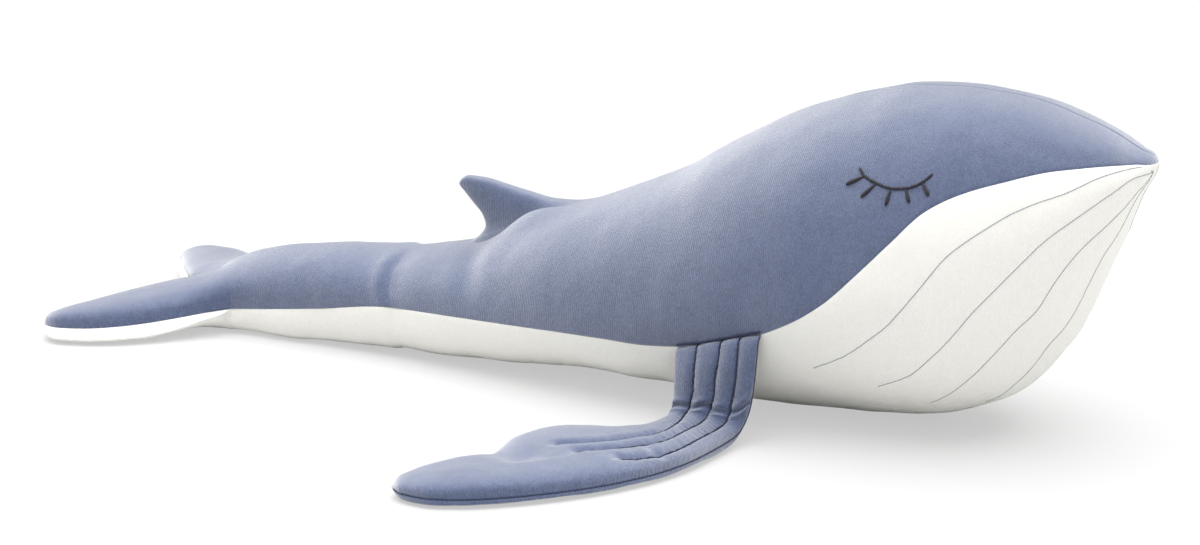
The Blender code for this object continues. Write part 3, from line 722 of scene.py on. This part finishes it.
# %% Edges of a fluke
leading_edge = [
    (-0.3285, 0.0490, 0.0228), (-0.3480, 0.0612, 0.0200), (-0.3650, 0.0775, 0.0180),
    (-0.3860, 0.0970, 0.0158), (-0.4085, 0.1138, 0.0140), (-0.4350, 0.1258, 0.0125),
    (-0.4590, 0.1312, 0.0120), (-0.4725, 0.1275, 0.0120), (-0.4773, 0.1195, 0.0120),
]
trailing_edge = [
    (-0.3835, 0.0002, 0.0280), (-0.3960, 0.0080, 0.0262), (-0.4105, 0.0165, 0.0250),
    (-0.4290, 0.0375, 0.0218), (-0.4450, 0.0592, 0.0193), (-0.4590, 0.0820, 0.0167),
    (-0.4705, 0.1012, 0.0143), (-0.4765, 0.1120, 0.0128), (-0.4773, 0.1195, 0.0120),
]
fluke_top = [0.014, 0.0145, 0.0155, 0.017, 0.0165, 0.0145, 0.011, 0.0065, 0]
fluke_under = [0.022, 0.0205, 0.0185, 0.0165, 0.0145, 0.013, 0.0115, 0.0075, 0]
left_sweep = (-0.0060, -0.0120)
root_fade = 0.40
top_lean = (0.70, 0.52)
under_power = 0.36
under_bulge = 0.0100
inside_depth = 0.01
lead_line, trail_line = indexed_line(leading_edge), indexed_line(trailing_edge)
top_curve, under_curve = indexed_curve(fluke_top), indexed_curve(fluke_under)


def fluke_edges(shares, side):
    """The trailing edge and the chord to the leading edge; the left fluke is swept more."""
    trail, lead = trail_line(shares), lead_line(shares)
    if side > 0:
        sweep = shares[:, None] ** 2 * np.array([*left_sweep, 0])
        trail, lead = trail + sweep, lead + sweep
    return trail, lead - trail


# %% The two faces of a fluke
def fluke_top_face(shares, across, turn, side):
    """The stuffed top, fullest toward the leading edge."""
    face = between(*fluke_edges(shares, side), across)
    swell = puff(turn) * (top_lean[0] + top_lean[1] * across)
    face[..., 2] += top_curve(shares)[:, None] * swell[None, :]
    return face


def fluke_under_face(shares, across, turn, side):
    """The white underside, which swells past the seam that it hangs from."""
    trail, chord = fluke_edges(shares, side)
    face = between(trail, chord, across)
    swell = puff(turn, under_power)
    face[..., 2] -= under_curve(shares)[:, None] * swell[None, :]
    bulge = under_bulge * 4 * swell * (1 - swell) * np.where(turn > 0.5, 1, -0.4)
    faded = smooth_step(shares / 0.10 + 0.2) * smooth_step((1 - shares) / 0.30)
    return face + unit(chord)[:, None] * (bulge[None, :] * faded[:, None])[..., None]


# %% Shape the flukes
def fluke_half(name, side, upper, material):
    """One closed half of a fluke, above or below its seam, grown out of the stock."""
    shares = row_shares(0.90, 0.905, 70, 20)
    across = column_shares()
    turn = edge_turn(across)
    own = (fluke_top_face if upper else fluke_under_face)(shares, across, turn, side)
    root = dressed_skin(stock_x(across, upper), across * side, upper)
    root[..., 1] *= side
    fade = 1 - smooth_step(shares / root_fade)
    places = own + (root - own[0])[None] * fade[:, None, None]
    inside = between(*fluke_edges(shares, side), across)
    inside[..., 2] -= inside_depth if upper else -inside_depth
    along, around = np.gradient(places, axis=(0, 1))
    normals = facing_out(along, around, places - inside)
    distance = (places[..., 0] - stock_end_x) * crease_slope - places[..., 1]
    distance = np.abs(distance) * crease_cosine
    corner = fluke_corner(distance, across, upper) - fluke_corner(0 * distance, across, upper)
    moved = (lumps(places) - lumps(places[:1])) + corner * fade[:, None]
    moved *= off_seams(turn, 0.08)[None, :] * smooth_step((1 - shares) / 0.06)[:, None]
    moved[0] = 0
    places = on_ground(places + normals * moved[..., None], side)
    return closed_half(name, places, upper, material)


flukes = {}
for side, word in both_sides:
    flukes["top_" + word] = fluke_half("fluke_top_cloth_" + word, side, True, blue_knit)
    flukes["under_" + word] = fluke_half("fluke_under_cloth_" + word, side, False, white_jersey)
print("flukes reach", round(max(p[1] for p in leading_edge) * 2, 3), "m across")

# %% [markdown]
# ## Dorsal fin
# The fin is cut in one with the side panels and stuffed lightly, so it has no
# seam at its foot. The cloth only flares there and sinks into the back. Its
# ring runs from the rear edge along one side to the front edge and back.

# %% Shape the fin
fin_rear = [
    (-0.1165, 0, 0.0955), (-0.1130, 0, 0.1000), (-0.1065, 0, 0.1055), (-0.1015, 0, 0.1140),
    (-0.1040, 0, 0.1230), (-0.1120, 0, 0.1320), (-0.1205, 0, 0.1410), (-0.1265, 0, 0.1480),
    (-0.1250, 0, 0.1525),
]
fin_front = [
    (0.0100, 0, 0.1455), (-0.0010, 0, 0.1460), (-0.0180, 0, 0.1440), (-0.0370, 0, 0.1435),
    (-0.0600, 0, 0.1470), (-0.0830, 0, 0.1515), (-0.1030, 0, 0.1550), (-0.1180, 0, 0.1555),
    (-0.1250, 0, 0.1525),
]
fin_half = [0.019, 0.0165, 0.0142, 0.0122, 0.0104, 0.0087, 0.0067, 0.0045, 0]
fin_lean, fin_flare = (0.80, 0.35), 0.55


def fin_piece():
    """The fin as one closed form, open nowhere and sunk into the back."""
    shares = row_shares(0.88, 0.90, 44, 14)
    rear, front = indexed_line(fin_rear)(shares), indexed_line(fin_front)(shares)
    turn, across = even_turns(41)
    near = between(rear, front - rear, across)
    foot, front_part = 1 - smooth_step(shares / 0.35), smooth_step((across - 0.45) / 0.35)
    flare = fin_flare * np.outer(foot, front_part)
    half = indexed_curve(fin_half)(shares)[:, None]
    swell = half * puff(turn) * (fin_lean[0] + fin_lean[1] * across + flare)
    far = near.copy()
    for face, sign in ((near, -1), (far, 1)):
        face[..., 1] = sign * swell
        face[..., 1] += sign * lumps(face) * off_seams(turn, 0.1)
    ring = np.concatenate([near, far[:, -2::-1]], axis=1)
    return stuffed_form("dorsal_fin_cloth", ring, blue_knit)


fin = fin_piece()
print("fin", len(fin.data.polygons), "faces")

# %% [markdown]
# ## Flippers
# A flipper is two layers of the blue knit, sewn at the edge, stuffed lightly
# and quilted with three lines. It hangs from the body's seam, turns at the
# ground and lies flat. Two edge lines carry it, and its thickness stands at a
# right angle to them, so it turns with them. Each quilted line presses a sharp
# valley that fades where the sewing ends.

# %% Edges of a flipper
# Each row: the trailing edge, the leading edge, then the height of the top layer
# over them and the depth of the under layer below them, in millimetres.
flipper_rows = np.array([
    (0.1250, 0.1085, 0.0652, 0.2005, 0.1208, 0.0884, 1.2, 1.2),
    (0.1251, 0.1130, 0.0622, 0.2003, 0.1252, 0.0848, 3.4, 3.0),
    (0.1257, 0.1165, 0.0500, 0.1995, 0.1275, 0.0670, 6.0, 5.0),
    (0.1265, 0.1190, 0.0380, 0.1982, 0.1285, 0.0480, 6.5, 5.5),
    (0.1272, 0.1215, 0.0275, 0.1962, 0.1295, 0.0320, 6.8, 5.5),
    (0.1270, 0.1265, 0.0175, 0.1930, 0.1325, 0.0190, 7.4, 5.8),
    (0.1255, 0.1360, 0.0120, 0.1900, 0.1405, 0.0112, 9.0, 6.5),
    (0.1220, 0.1480, 0.0098, 0.1870, 0.1540, 0.0085, 10.5, 7.6),
    (0.1140, 0.1630, 0.0085, 0.1832, 0.1760, 0.0075, 12.0, 7.2),
    (0.0970, 0.1765, 0.0080, 0.1775, 0.2060, 0.0072, 13.5, 7.0),
    (0.0740, 0.1870, 0.0078, 0.1655, 0.2390, 0.0070, 15.5, 7.0),
    (0.0510, 0.2025, 0.0076, 0.1455, 0.2730, 0.0070, 17.0, 7.0),
    (0.0395, 0.2330, 0.0075, 0.1185, 0.3050, 0.0070, 16.5, 7.0),
    (0.0345, 0.2680, 0.0075, 0.0875, 0.3330, 0.0070, 15.5, 7.0),
    (0.0180, 0.3000, 0.0075, 0.0575, 0.3530, 0.0070, 14.0, 7.0),
    (0.0035, 0.3240, 0.0075, 0.0295, 0.3625, 0.0070, 11.0, 6.5),
    (-0.0035, 0.3410, 0.0074, 0.0100, 0.3605, 0.0070, 7.0, 5.5),
    (-0.0030, 0.3520, 0.0072, -0.0030, 0.3520, 0.0072, 0.0, 0.0),
])
flipper_trail = indexed_line(flipper_rows[:, 0:3])
flipper_lead = indexed_line(flipper_rows[:, 3:6])
flipper_top = indexed_curve(flipper_rows[:, 6] / 1000)
flipper_under = indexed_curve(flipper_rows[:, 7] / 1000)

# %% The quilted lines and the folds across a flipper
# Each line: shares of the length, then shares of the width at those places.
quilt_lines = (
    ((0.0, 0.050, 0.143, 0.246, 0.321, 0.430, 0.505, 0.556, 0.609, 0.643, 0.675),
     (0.265, 0.270, 0.273, 0.262, 0.250, 0.340, 0.465, 0.505, 0.533, 0.528, 0.465)),
    ((0.0, 0.070, 0.147, 0.242, 0.273, 0.440, 0.530, 0.582, 0.625, 0.664),
     (0.560, 0.563, 0.550, 0.538, 0.528, 0.560, 0.672, 0.690, 0.686, 0.650)),
    ((0.0, 0.040, 0.134, 0.227, 0.262, 0.437, 0.516, 0.569, 0.609, 0.624),
     (0.775, 0.781, 0.791, 0.785, 0.787, 0.808, 0.866, 0.893, 0.872, 0.845)),
)
quilt_depths = (0.46, 0.46, 0.48, 0.50, 0.44, 0.38, 0.34, 0.30, 0.30, 0.30, 0.30)
quilt_channel, dent_power = 0.0088, 0.72
length_of_share = 0.42
elbow_line = ((0.0, 0.12, 0.31, 0.46, 0.61, 0.77, 0.88, 1.0),
              (0.281, 0.267, 0.270, 0.252, 0.267, 0.265, 0.254, 0.214))
notch_line = ((0.0, 0.20, 0.40, 0.62, 0.70), (0.752, 0.748, 0.740, 0.722, 0.690))
crook_line = ((0.70, 0.86, 1.0), (0.568, 0.575, 0.570))


def table_line(line, place):
    """Read a line, given by its places and its values, between its ends."""
    return smooth_curve(*np.array(line))(np.clip(place, line[0][0], line[0][-1]))


def cross_fold(line, fold, share, across):
    """A fold across the flipper: a valley and a swell beside it."""
    depth, width, swell = fold
    distance = (share - table_line(line, across)) * length_of_share / width
    square = distance * distance
    return depth * (-np.exp(-square) + swell * square * np.exp(1 - square))


# %% The frame of a flipper's section, and its under layer
flipper_bulge = 0.0018
frame_step = 0.004
# Each layer: how round it is on the arm and on the blade.
top_powers, under_powers = (0.70, 0.56), (0.62, 0.40)


def flipper_frame(share):
    """The trailing edge, the chord to the leading edge and the way up."""
    trail, chord = flipper_trail(share), flipper_lead(share) - flipper_trail(share)
    earlier, later = (
        (flipper_trail(place) + flipper_lead(place)) / 2
        for place in (share - frame_step, share + frame_step)
    )
    return trail, chord, unit(np.cross(chord, later - earlier))


def blade_share(share):
    """0 on the arm and 1 on the blade."""
    return smooth_step((share - 0.30) / 0.12)


def layer_swell(share, turn, powers):
    """Height of a layer, from 0 through 1 to 0, squarer on the blade."""
    return puff(turn, powers[0] + (powers[1] - powers[0]) * blade_share(share))


def under_places(share, across):
    """Places of the left flipper's under layer."""
    trail, chord, direction = flipper_frame(share)
    turn = edge_turn(across)
    swell = layer_swell(share, turn, under_powers)
    bulge = 4 * swell * (1 - swell) * np.where(turn > 0.5, 1, -0.5)
    bulge = bulge * flipper_bulge * blade_share(share) * smooth_step((1 - share) / 0.10)
    height = flipper_under(share) * swell
    return (trail + chord * across[..., None] + unit(chord) * bulge[..., None]
            - direction * height[..., None])


# %% How the quilting presses the top layer
def quilting(share, across, wide):
    """How far the lines press the filling, from 0 to 1, and how near the next one is."""
    pressed = np.zeros(across.shape)
    nearest = np.full(across.shape, 1.0)
    for line in quilt_lines:
        distance = np.abs(across - table_line(line, share)) * wide
        past = np.maximum(share - line[0][-1], 0) * length_of_share
        distance = np.hypot(distance, past)
        reach = np.clip(distance / quilt_channel, 0, 1)
        pressed = np.maximum(pressed, 1 - np.sin(math.pi / 2 * reach) ** dent_power)
        nearest = np.minimum(nearest, distance)
    return pressed, nearest


# %% The folds and puckers of the top layer
# Each fold: its depth, its width and the share of its swell.
elbow_fold = (0.0021, 0.0088, 0.80)
notch_fold = (0.0050, 0.0120, 0.12)
crook_fold = (0.0010, 0.0050, 0.50)
fold_reach = 0.004
pucker_pitch, pucker_height = 0.0074, 0.00030
pucker_place, pucker_reach = 0.0020, 0.0035
pucker_slant, patch_waves = 9, (61, 17)


def top_lift(share, across, nearest):
    """Height that the folds and the puckers beside the stitches add."""
    full = 1 - 0.65 * np.exp(-(nearest / fold_reach) ** 2)
    lift = full * cross_fold(elbow_line, elbow_fold, share, across)
    notch = smooth_step((0.74 - across) / 0.25)
    lift = lift + notch * cross_fold(notch_line, notch_fold, share, across)
    crook = smooth_step((across - 0.70) / 0.10) * smooth_step((1 - across) / 0.06)
    lift = lift + crook * cross_fold(crook_line, crook_fold, share, across)
    waves = share * length_of_share / pucker_pitch
    ripple = np.sin(waves * 2 * math.pi + across * pucker_slant)
    ripple = ripple * np.sin(share * patch_waves[0] + across * patch_waves[1]) ** 2
    near = np.exp(-((nearest - pucker_place) / pucker_reach) ** 2)
    return lift + pucker_height * ripple * smooth_step((0.70 - share) / 0.05) * near


def top_places(share, across):
    """Places of the left flipper's top layer."""
    trail, chord, direction = flipper_frame(share)
    turn = edge_turn(across)
    pressed, nearest = quilting(share, across, lengths(chord)[..., 0])
    swell = layer_swell(share, turn, top_powers)
    swell = swell * (1 - indexed_curve(quilt_depths)(share) * pressed)
    lift = top_lift(share, across, nearest) * off_seams(turn, 0.08)
    height = flipper_top(share) * swell + lift
    return trail + chord * across[..., None] + direction * height[..., None]


# %% Shape the flippers
lump_shrink = 1.4


def flipper_piece(name, side):
    """One flipper, both layers and its filling, as one closed form."""
    shares = row_shares(0.94, 0.943, 250, 26)
    turn, across = even_turns(101)
    share_grid, across_grid = np.meshgrid(shares, across, indexing="ij")
    ends = smooth_step(shares / 0.1) * smooth_step((1 - shares) / 0.08)
    inner = off_seams(turn, 0.1)[None, :] * ends[:, None]
    faces = []
    for layer_places in (top_places, under_places):
        places = layer_places(share_grid, across_grid)
        places[..., 2] += lumps(places * lump_shrink) * inner
        faces.append(on_ground(places, side))
    ring = np.concatenate([faces[0], faces[1][:, -2::-1]], axis=1)
    return stuffed_form(name, ring, blue_knit)


flippers = {word: flipper_piece("flipper_cloth_" + word, side) for side, word in both_sides}
print("flipper", len(flippers["right"].data.polygons), "faces")

# %% [markdown]
# ## Stitches
# Machine stitches are short and lie on the cloth or sink a little into it. Each
# is a small round capsule of its own, so a row follows every lump. The place
# and direction come from the nearest points of the cloth.

# %% Lay stitches on cloth
def cloth_tree(pieces):
    """A search tree over the finished faces of some pieces."""
    merged = bmesh.new()
    for piece in pieces:
        merged.from_mesh(piece.data)
    tree = BVHTree.FromBMesh(merged)
    merged.free()
    return tree


def run_along(points):
    """The points as an array, and the distance along the line at each of them."""
    points = np.array(points, float)
    steps = np.linalg.norm(np.diff(points, axis=0), axis=1)
    return points, np.concatenate([[0], np.cumsum(steps)])


def even_points(points, pitch):
    """Points at an even distance along a line."""
    points, run = run_along(points)
    count = max(round(run[-1] / pitch), 1)
    wanted = np.linspace(0, run[-1], count + 1)
    return np.stack([np.interp(wanted, run, column) for column in points.T], axis=-1)


def drawn_line(points, count):
    """Points at even shares of a smooth line through a few."""
    points, run = run_along(points)
    return smooth_line(points, run / run[-1])(np.linspace(0, 1, count))


# %% The shape of one stitch
def stitch_shape(taper=0.0):
    """One stitch: a capsule of unit half length and radius, which may taper."""
    shape = bmesh.new()
    bmesh.ops.create_uvsphere(shape, u_segments=8, v_segments=6, radius=1)
    for vert in shape.verts:
        x, y, z = vert.co.z, vert.co.x, vert.co.y
        blunt = (1 - abs(x) ** 3.4) ** 0.5
        round_now = max((y * y + z * z) ** 0.5, 1e-6)
        scale = blunt * (1 + taper * x) / round_now if round_now > 1e-3 else 0
        vert.co = (x, y * scale, z * scale)
    mesh = bpy.data.meshes.new("stitch")
    shape.to_mesh(mesh)
    shape.free()
    return mesh


plain_stitch = stitch_shape()
tapered_stitch = stitch_shape(0.32)


# %% A row of stitches
def stitched_line(work, tree, points, pitch, length, width, sink, shape=plain_stitch):
    """Add one capsule for each stitch along a line on the cloth."""
    spots = [tree.find_nearest(Vector(p)) for p in even_points(points, pitch)]
    for first, last in zip(spots, spots[1:]):
        direction = last[0] - first[0]
        if direction.length < pitch / 4:
            continue
        out = (first[1] + last[1]).normalized()
        direction.normalize()
        across = out.cross(direction).normalized()
        out = direction.cross(across)
        middle = (first[0] + last[0]) / 2 + out * (width / 2 - sink)
        turn = Matrix((direction, across, out)).transposed().to_4x4()
        size = Matrix.Diagonal((length / 2, width / 2, width / 2, 1))
        stitch = shape.copy()
        stitch.transform(Matrix.Translation(middle) @ turn @ size)
        work.from_mesh(stitch)
        bpy.data.meshes.remove(stitch)


# %% [markdown]
# ## Quilted lines and edge seams of the flippers
# The navy lines have about 1.9 mm stitches. They run from the body's seam over
# the elbow and end in the blade. The same thread shows along the leading edge,
# and where the flipper is sewn on, in stitches that lie on the body's cloth.
# There they overlap into one dark line, which is partly thread and partly
# painted shade of the crease between the flipper and the body.

# %% Sew the flippers
# Each kind of stitch: its pitch, length, width and how deep it sinks.
quilt_stitch = (0.0019, 0.00175, 0.0018, 0.0001)
edge_stitch = (0.0019, 0.0021, 0.0011, 0.0003)
# The root's stitches overlap into one dark line: thread, and painted shade of the crease.
root_stitch_and_shade = (0.0016, 0.0026, 0.0018, 0.0001)
root_seam_and_shade = ((0.1245, 0.1190, 0.0657), (0.1450, 0.1230, 0.0714), (0.1700, 0.1265, 0.0797),
             (0.2000, 0.1295, 0.0892))
body_tree = cloth_tree([back_front, belly_front])
flipper_sewing = {}
for side, word in both_sides:
    tree = cloth_tree([flippers[word]])
    work = bmesh.new()
    for line in quilt_lines:
        share = np.linspace(0.012, line[0][-1], 240)
        points = top_places(share, table_line(line, share))
        points[:, 1] *= side
        stitched_line(work, tree, points, *quilt_stitch)
    edge = flipper_lead(np.linspace(0.02, 0.985, 260))
    edge[:, 1] *= side
    stitched_line(work, tree, edge, *edge_stitch)
    # The dark line at the root: thread, and painted shade of the crease beside the flipper.
    root = [(x, side * y, z) for x, y, z in root_seam_and_shade]
    stitched_line(work, body_tree, root, *root_stitch_and_shade)
    flipper_sewing[word] = finished("flipper_sewing_" + word, work, navy_thread)
print("flipper sewing", len(flipper_sewing["right"].data.polygons), "faces")

# %% [markdown]
# ## Throat lines
# Eight fine grey lines fan out from the snout over the white throat, four on
# each side, like the pleats of a real whale. They are single rows of straight
# stitches, so each is a thin, nearly unbroken thread.

# %% Sew the throat
# The places are in millimetres. All four lines start at the snout.
throat_start = (473, 6, 224)
throat_lines = [
    [(463.5, 28, 229), (446.5, 47, 225), (425.5, 68, 215), (406.5, 81, 208),
     (391.5, 91, 201), (376.5, 99, 191), (347.5, 113, 167), (330.5, 118, 144),
     (311.5, 121, 118), (301.5, 120, 106), (288.5, 120, 94), (267.5, 117, 75),
     (239.5, 112, 56)],
    [(467.5, 27, 222), (453.5, 46, 211), (430.5, 68, 193), (415.5, 81, 180),
     (397.5, 91, 160), (380.5, 98, 140), (363.5, 103, 119), (346.5, 104, 96),
     (334.5, 103, 83), (315.5, 100, 61), (288.5, 97, 44)],
    [(462.5, 25, 201), (449.5, 44, 185), (430.5, 63, 162), (417.5, 70, 141),
     (408.5, 73, 122), (391.5, 79, 103), (374.5, 81, 82), (359.5, 78, 63), (336.5, 73, 39),
     (324.5, 71, 29)],
    [(455.5, 21, 177), (445.5, 31, 159), (436.5, 35, 137), (429.5, 37, 117),
     (421.5, 39, 99), (408.5, 44, 84), (396.5, 45, 65), (383.5, 46, 49), (370.5, 42, 32),
     (361.5, 40, 24)],
]
throat_stitch = (0.0028, 0.0031, 0.0008, 0.0004)
work = bmesh.new()
tree = cloth_tree([belly_front])
for line in throat_lines:
    for side in (-1, 1):
        points = np.array([throat_start, *line]) * (1, side, 1) / 1000
        stitched_line(work, tree, drawn_line(points, 200), *throat_stitch)
throat_sewing = finished("throat_sewing", work, grey_thread)
print("throat sewing", len(throat_sewing.data.polygons), "faces")

# %% [markdown]
# ## Closed eyes
# The lid and its five lashes are long stitches of thick thread. The lid is a
# chain of overlapping stitches, and each lash is a single one that tapers.

# %% Sew the eyes
# The places are x and z in millimetres. A ray from the side finds the cloth.
lid_points = [(268.5, 223), (273.5, 218.5), (284.5, 215), (297.5, 212.5), (308.5, 213.5),
              (321.5, 219), (327.5, 225)]
lashes = [
    ((273.5, 218), (260.5, 211)), ((285, 214.5), (275, 204)), ((297.5, 212), (296, 200.5)),
    ((309.5, 213), (314, 204.5)), ((321.5, 218.5), (328, 210.5)),
]
lid_stitch = (0.0068, 0.0085, 0.0025, 0.0010)
lash_overlap, lash_thread, lash_sink = 1.10, 0.0030, 0.0010
beside_head = 0.16
face_tree = cloth_tree([back_front])


def on_face(point, side):
    """The place on the cloth of the face at x and z."""
    start = Vector((point[0] / 1000, side * beside_head, point[1] / 1000))
    return face_tree.ray_cast(start, Vector((0, -side, 0)))[0]


eyes = {}
for side, word in both_sides:
    work = bmesh.new()
    lid = drawn_line([on_face(point, side) for point in lid_points], 60)
    stitched_line(work, face_tree, lid, *lid_stitch)
    for lash in lashes:
        ends = [on_face(point, side) for point in lash]
        pitch = (ends[1] - ends[0]).length
        stitched_line(work, face_tree, ends, pitch, pitch * lash_overlap, lash_thread, lash_sink,
                      tapered_stitch)
    eyes[word] = finished("closed_eye_sewing_" + word, work, eye_thread)
print("eye sewing", len(eyes["right"].data.polygons), "faces")

# %% [markdown]
# ## Pieces and the torso
# The eyes and the throat's thread ride on the torso. Every other piece has its
# place written into its own points.

# %% Bake the pieces in place, and attach the eyes and throat to the torso
for piece in (back_front, belly_front):
    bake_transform(piece)
for piece in (back_rear, belly_rear):
    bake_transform(piece)
for side, word in both_sides:
    root = Vector((-0.3615, side * 0.0198, 0.021))
    for half in ("top_", "under_"):
        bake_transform(flukes[half + word])
    for piece in (flippers[word], flipper_sewing[word]):
        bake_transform(piece)
    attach(eyes[word], "torso")
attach(throat_sewing, "torso")
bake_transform(fin)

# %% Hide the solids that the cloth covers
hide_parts("upper_panel_right", "upper_panel_left", "torso_filling",
            "tail_root_panel_right", "tail_root_panel_left", "tail_root_filling")
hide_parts("belly_panel", "tail_root_belly")
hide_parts("tail_panel_right", "tail_panel_left", "tail_filling")
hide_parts("tail_belly")
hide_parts("fin_skin_right", "fin_skin_left", "fin_filling")
for word in ("right", "left"):
    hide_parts("fluke_top_" + word, "fluke_filling_" + word)
    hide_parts("fluke_underside_" + word)
    parts = ("arm_outer", "arm_inner", "arm_filling",
             "blade_top", "blade_underside", "blade_filling")
    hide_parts(*["flipper_" + part + "_" + word for part in parts])
    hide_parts("closed_eye_" + word)

# %% [markdown]
# ## Floor and light
# The picture has a white floor with a soft shadow under the toy. The floor is
# plain and pale, and rays from the camera see it lifted to white, so no extra
# light falls on the toy. One broad lamp overhead makes the back brighter than
# the flanks, and an even sky fills the rest.

# %% Tell what the camera sees from what only lights the toy
def seen_rays(tree):
    """1 for rays from the camera, a reflection or a clear thing, and 0 for light."""
    camera_ray, glossy, clear = (
        add_node(tree, "LightPath", {}, output="Is " + kind + " Ray")
        for kind in ("Camera", "Glossy", "Transmission")
    )
    return calculated(tree, "MAXIMUM", calculated(tree, "MAXIMUM", camera_ray, glossy), clear)


# %% Floor
floor_size = 6
floor_glow = 0.52
floor_gap = 0.0006
floor_grid = bmesh.new()
bmesh.ops.create_grid(floor_grid, x_segments=1, y_segments=1, size=floor_size)
floor_data = bpy.data.meshes.new("floor")
floor_grid.to_mesh(floor_data)
floor_grid.free()
floor = add_object("floor", floor_data)
floor.location.z = -floor_gap
floor_material, tree = empty_material("white_floor")
seen = seen_rays(tree)
matte = add_node(tree, "BsdfDiffuse", {
    "Color": mixed_colour(tree, seen, "#d4d4d3", "#828282")})
glow = add_node(tree, "Emission", {"Strength": calculated(tree, "MULTIPLY", seen, floor_glow)})
both = add_node(tree, "AddShader", {0: matte, 1: glow})
add_node(tree, "OutputMaterial", {"Surface": both})
floor_data.materials.append(floor_material)

# %% An even sky
sky_light = 0.36
world = bpy.data.worlds.new("studio")
bpy.context.scene.world = world
world.use_nodes = True
tree = world.node_tree
tree.nodes.clear()
sky = add_node(tree, "MapRange", {"Value": seen_rays(tree), "To Min": sky_light, "To Max": 1.0})
shell = add_node(tree, "Background", {"Color": linear("#ffffff"), "Strength": sky})
add_node(tree, "OutputWorld", {"Surface": shell})

# %% One broad lamp overhead
lamp_energy = 7.1
lamp_spread = math.radians(84)
lamp_direction = Vector((-0.05, 0.10, 1))
overhead_data = bpy.data.lights.new("overhead", "SUN")
overhead_data.energy = lamp_energy
overhead_data.angle = lamp_spread
overhead = add_object("overhead", overhead_data)
overhead.rotation_mode = "QUATERNION"
overhead.rotation_quaternion = lamp_direction.to_track_quat("Z", "Y")
bpy.context.scene.view_settings.view_transform = "Standard"
